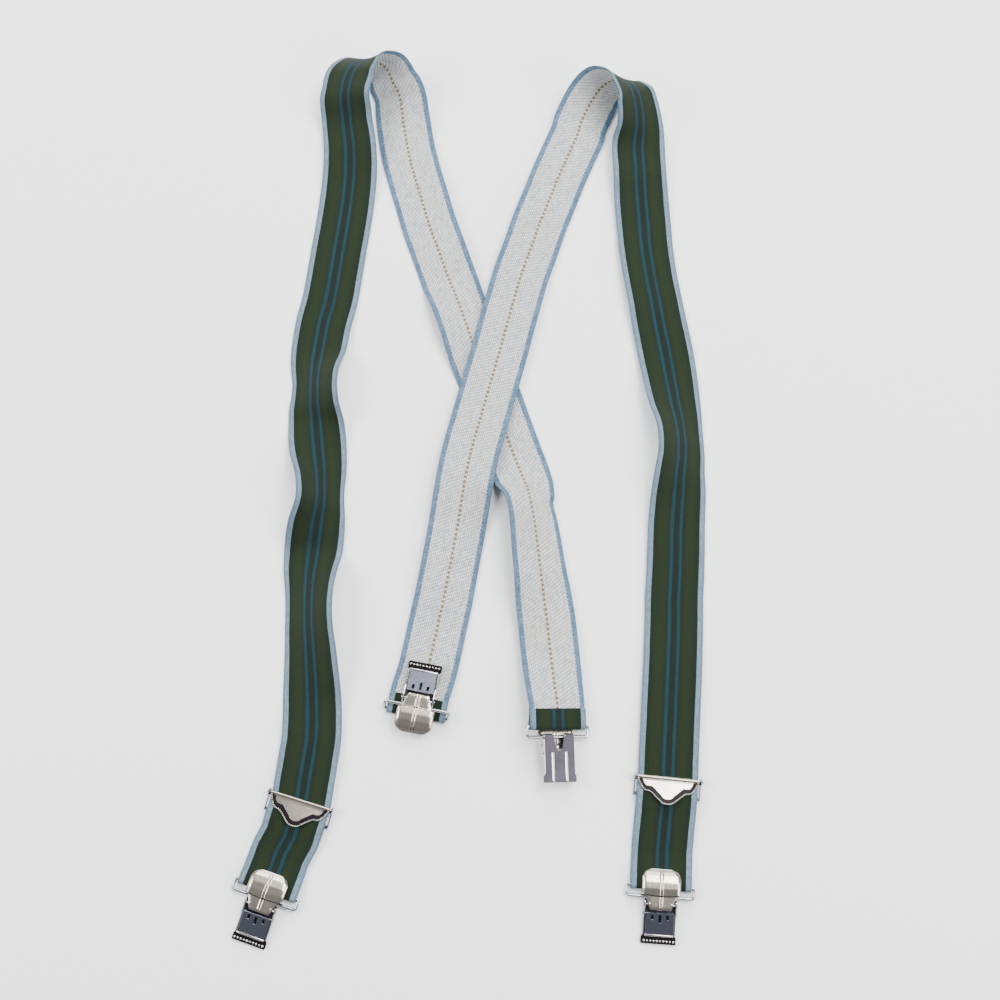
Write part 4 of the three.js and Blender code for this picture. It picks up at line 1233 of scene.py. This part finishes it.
class Clip:
    """A ring and its over-centre clip, riding on four bodies."""

    def __init__(self, name: str, ring: RingSize = RingSize(), size: ClipSize = ClipSize()) -> None:
        """Finds the clip's frame from its joints."""
        self.name = name
        self.ring = ring
        self.size = size
        self.place = clip_place(name)

    def part(self, piece: str, replaced: str, body: str, slot: str, *finishes: Finish,
             shape: Callable[[Solid], Solid]) -> bpy.types.Object:
        """Makes one piece and sets what it replaces, rides on and is finished in."""
        made = shape(Solid(f"{self.name}_{piece}", self.place)).made(*finishes)
        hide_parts(f"{self.name}_{replaced}")
        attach(made, f"{self.name}_{body}")
        return made

    def pin(self, radius: float, pivot_at: tuple[float, float]) -> Callable[[Solid], Solid]:
        """A pin with peened heads."""
        reach = self.size.pin_half
        def shape(solid: Solid) -> Solid:
            """The shank and its two heads."""
            solid.add(bar(radius, -reach, reach, *pivot_at))
            for side in (-1, 1):
                ends = sorted((side * (reach - 0.4), side * (reach + 0.15)))
                solid.add(bar(radius + 0.35, *ends, *pivot_at))
            return solid
        return shape

    def build(self) -> None:
        """Makes the ring, base, lever, jaw, pins and teeth."""
        wire_nodes = bpy.data.node_groups.get("wire") or wire_tree()
        ring = along_paths(
            f"{self.name}_ring_wire", [self.ring.path(ring_place(self.name))], wire_nodes,
            {"Radius": self.ring.wire * MM, "Material": Finish.WIRE.material()}, cyclic=True)
        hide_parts(f"{self.name}_ring")
        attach(ring, f"{self.name}_ring")
        size = self.size
        self.part("back_plate", "clip_base", "clip", "nickel", Finish.PANEL, Finish.GROOVE, Finish.BRIGHT,
                  shape=size.base)
        self.part("dome_lever", "clip_lever", "lever", "nickel", Finish.SATIN, Finish.GROOVE, shape=size.lever)
        self.part("jaw_plate", "clip_jaw", "jaw", "dark_nickel", Finish.DARK, Finish.BRIGHT, shape=size.jaw)
        for piece, radius, at in (("lever_pin", 0.7, LEVER_PIVOT), ("jaw_pin", 0.6, JAW_PIVOT)):
            self.part(f"{piece}_steel", piece, "clip", "steel_wire", Finish.WIRE, shape=self.pin(radius, at))
        teeth = repeated(f"{self.name}_teeth", size.teeth(self.place), Motif.TOOTH, 1.9, (1.5, 1.8, 1.0),
                         self.place.outer, Finish.BRIGHT.material())
        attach(teeth, f"{self.name}_clip")


@dataclass(frozen=True)
class CoverSize:
    """The bat-wing cover: its lower edge, as x and y from the side to the point."""

    edge: Sequence[tuple[float, float]] = (
        (0, -16.6), (1.6, -16.45), (3.2, -15.9), (6.2, -13.4), (10.2, -9.95), (11.6, -9.5), (13.6, -9.3),
        (15.0, -8.2), (15.9, -6.9), (17.4, -4.3), (18.2, -2.6), (18.8, -1.2))
    half: float = 18.8
    sheet: float = 0.8

    def foot(self, x: np.ndarray) -> np.ndarray:
        """The lower edge's y at each x."""
        xs, ys = zip(*self.edge)
        return np.interp(abs(x), xs, ys)

    def height(self, y: np.ndarray) -> np.ndarray:
        """The plate's top, leaning out towards its point."""
        return np.interp(y, [-16.6, -10, -3, 0], [7.65, 6.6, 5.42, 5.4])

    def plate(self, solid: Solid) -> Solid:
        """The pressed plate, with the groove inside its rim painted near-black as dark reflection, and the hinge
        barrel.
        """
        x = self.half * np.sin(np.linspace(-1, 1, 121) * math.pi / 2)
        foot = self.foot(x)
        slope = np.gradient(foot, x)
        lean = np.minimum(np.hypot(1, slope), 2.2)
        rows = np.array([0, 0.25, 0.7, 1.3, 1.5, 2.2, 3.0, 3.25])
        deep = rows[:, None] * lean[None, :]
        rest = np.linspace(0, 1, 20)[1:, None]
        room = np.minimum(1, 0.7 * abs(foot) / deep[-1])
        deep = deep * room
        lower = foot + deep
        upper = lower[-1] + (0 - lower[-1]) * rest
        y = np.vstack([lower, upper])
        xs = np.repeat(x[None, :], len(y), 0)
        z = self.height(y) + 0.25 * (1 - (xs / self.half) ** 2)
        press = np.zeros(len(y))
        press[:8] = [-0.3, -0.02, 0.08, 0.05, -0.28, -0.34, -0.3, 0.0]
        z += press[:, None]
        verts, faces = shell(xs, y, z, self.sheet)
        # Rows 1 to 6 on top, the groove inside the rim, take the near-black finish: painted dark reflection.
        columns, kinds = len(x), []
        for face in faces:
            row = min(face) // columns
            on_top = max(face) < xs.size
            kinds.append(1 if on_top and 1 <= row <= 6 else 0)
        solid.add((verts, faces), kinds)
        solid.add(tube(1.0, 0.75, -self.half, self.half, *COVER_PIVOT))
        return solid

    def rim(self, place: Place) -> np.ndarray:
        """The line that the knurled rim follows."""
        x = np.linspace(-18.2, 18.2, 160)
        y = self.foot(x) + 0.35
        crown = 0.25 * (1 - (x / self.half) ** 2)
        return np.array([place.at(a, b, float(self.height(b)) + c - 0.1) for a, b, c in zip(x, y, crown)])


class Adjuster:
    """A bat-wing slide adjuster."""

    def __init__(self, side: str, cover: CoverSize = CoverSize()) -> None:
        """Finds the adjuster's frame from its hinge."""
        self.side = side
        self.cover = cover
        self.place = adjuster_place(side)

    def frame(self, solid: Solid) -> Solid:
        """The flat frame with its two cross bars and upturned tabs."""
        for y0, y1 in ((-3, -0.5), (-12.5, -10.5)):
            solid.add(box((-20.4, y0, 1.5), (20.4, y1, 2.3), 0.25))
        tab = [(0.8, 1.5), (0.8, 5.6), (0.1, 6.3), (-2.4, 6.3), (-3.4, 5.6), (-3.4, 1.5)]
        for x in (-20.4, 19.7):
            solid.add(box((x, -12.5, 1.5), (x + 0.7, 0.8, 2.3), 0.2))
            solid.add(wall(rounded(tab, 0.6), x, x + 0.7))
        return solid

    def pin(self, solid: Solid) -> Solid:
        """The hinge pin with its heads."""
        solid.add(bar(0.45, -21.2, 21.2, *COVER_PIVOT, crown=0.12))
        for x in (-21.2, 20.65):
            solid.add(bar(0.95, x, x + 0.55, *COVER_PIVOT))
        return solid

    def build(self) -> None:
        """Makes the frame, pin, cover and knurled rim."""
        side = self.side
        for piece, body, slot, finishes, shape in (
            ("frame", "adjuster", "dark_nickel", (Finish.DARK,), self.frame),
            ("pin", "adjuster", "steel_wire", (Finish.WIRE,), self.pin),
            ("cover", "adjuster_cover", "nickel", (Finish.SATIN, Finish.GROOVE), self.cover.plate),
        ):
            made = shape(Solid(f"{side}_{piece}_metal", self.place)).made(*finishes)
            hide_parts(f"{side}_adjuster_{piece}")
            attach(made, f"{side}_{body}")
        rim = repeated(f"{side}_knurled_rim", [self.cover.rim(self.place)], Motif.BEAD, 1.3, (0.85, 1.4, 1.15),
                       self.place.outer, Finish.BRIGHT.material())
        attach(rim, f"{side}_adjuster_cover")


# ---------------------------------------------------------------- stage
class Stage:
    """A plain pale floor, soft light and the camera."""

    def floor(self) -> bpy.types.Object:
        """The floor that the object lies on."""
        mesh = bpy.data.meshes.new("floor")
        reach = 3.0
        mesh.from_pydata([(-reach, -reach, 0), (reach, -reach, 0), (reach, reach, 0), (-reach, reach, 0)], [],
                         [(0, 1, 2, 3)])
        material, _, shader = new_material("floor")
        shader.inputs["Base Color"].default_value = (*srgb(244, 245, 247), 1)
        shader.inputs["Roughness"].default_value = 0.95
        shader.inputs["Specular IOR Level"].default_value = 0.1
        mesh.materials.append(material)
        made = linked("floor", mesh)
        return made

    def light(self, name: str, place: Row, aim: Row, size: float, power: float) -> None:
        """A square soft light aimed at a point."""
        data = bpy.data.lights.new(name, "AREA")
        data.size, data.energy = size, power
        lamp = bpy.data.objects.new(name, data)
        lamp.location = place
        lamp.rotation_euler = (Vector(aim) - Vector(place)).to_track_quat("-Z", "Y").to_euler()
        bpy.context.scene.collection.objects.link(lamp)

    def camera(self, shift: np.ndarray) -> None:
        """The camera over the middle of the laid-out object, tipped a little towards the shoulders."""
        data = bpy.data.cameras.new("camera")
        data.lens, data.sensor_width = 47.74, 36
        made = bpy.data.objects.new("camera", data)
        made.location = (shift[0] * MM, (shift[1] - 176.7) * MM, 0.8314)
        made.rotation_euler = (math.radians(12), 0, 0)
        bpy.context.scene.collection.objects.link(made)
        bpy.context.scene.camera = made

    def build(self, shift: np.ndarray) -> bpy.types.Object:
        """Sets up everything and returns the floor."""
        world = bpy.data.worlds.new("studio")
        world.use_nodes = True
        backdrop = world.node_tree.nodes["Background"].inputs
        backdrop["Color"].default_value = (0.9, 0.95, 1.0, 1)
        backdrop["Strength"].default_value = 0.35
        bpy.context.scene.world = world
        centre = (0, 0, 0)
        self.light("key", (0.62, 0.42, 1.5), centre, 0.9, 44)
        self.light("left", (-1.25, 0.1, 1.1), centre, 1.0, 40)
        self.light("back", (0.0, 1.5, 1.1), centre, 1.1, 34)
        self.light("right", (1.35, -0.5, 0.9), centre, 0.8, 22)
        self.camera(shift)
        return self.floor()


def main() -> None:
    """Builds the suspenders and their stage, in order."""
    logging.basicConfig(level=logging.INFO, format="%(message)s")
    shift = pivot("left_cover_hinge") - COVER_HINGE_AS_LAID
    floor = Stage().build(shift)
    for name in ("left_front", "right_front", "left_back", "right_back"):
        Clip(name).build()
    for side in SIDES:
        Adjuster(side.name).build()
        strap_length = Strap(side, shift).build(floor)
        loop_length = FrontLoop(side.name).build()
        LOG.info("%s strap %.0f mm, lower loop %.0f mm", side.name, strap_length, loop_length)


if __name__ == "__main__":
    main()
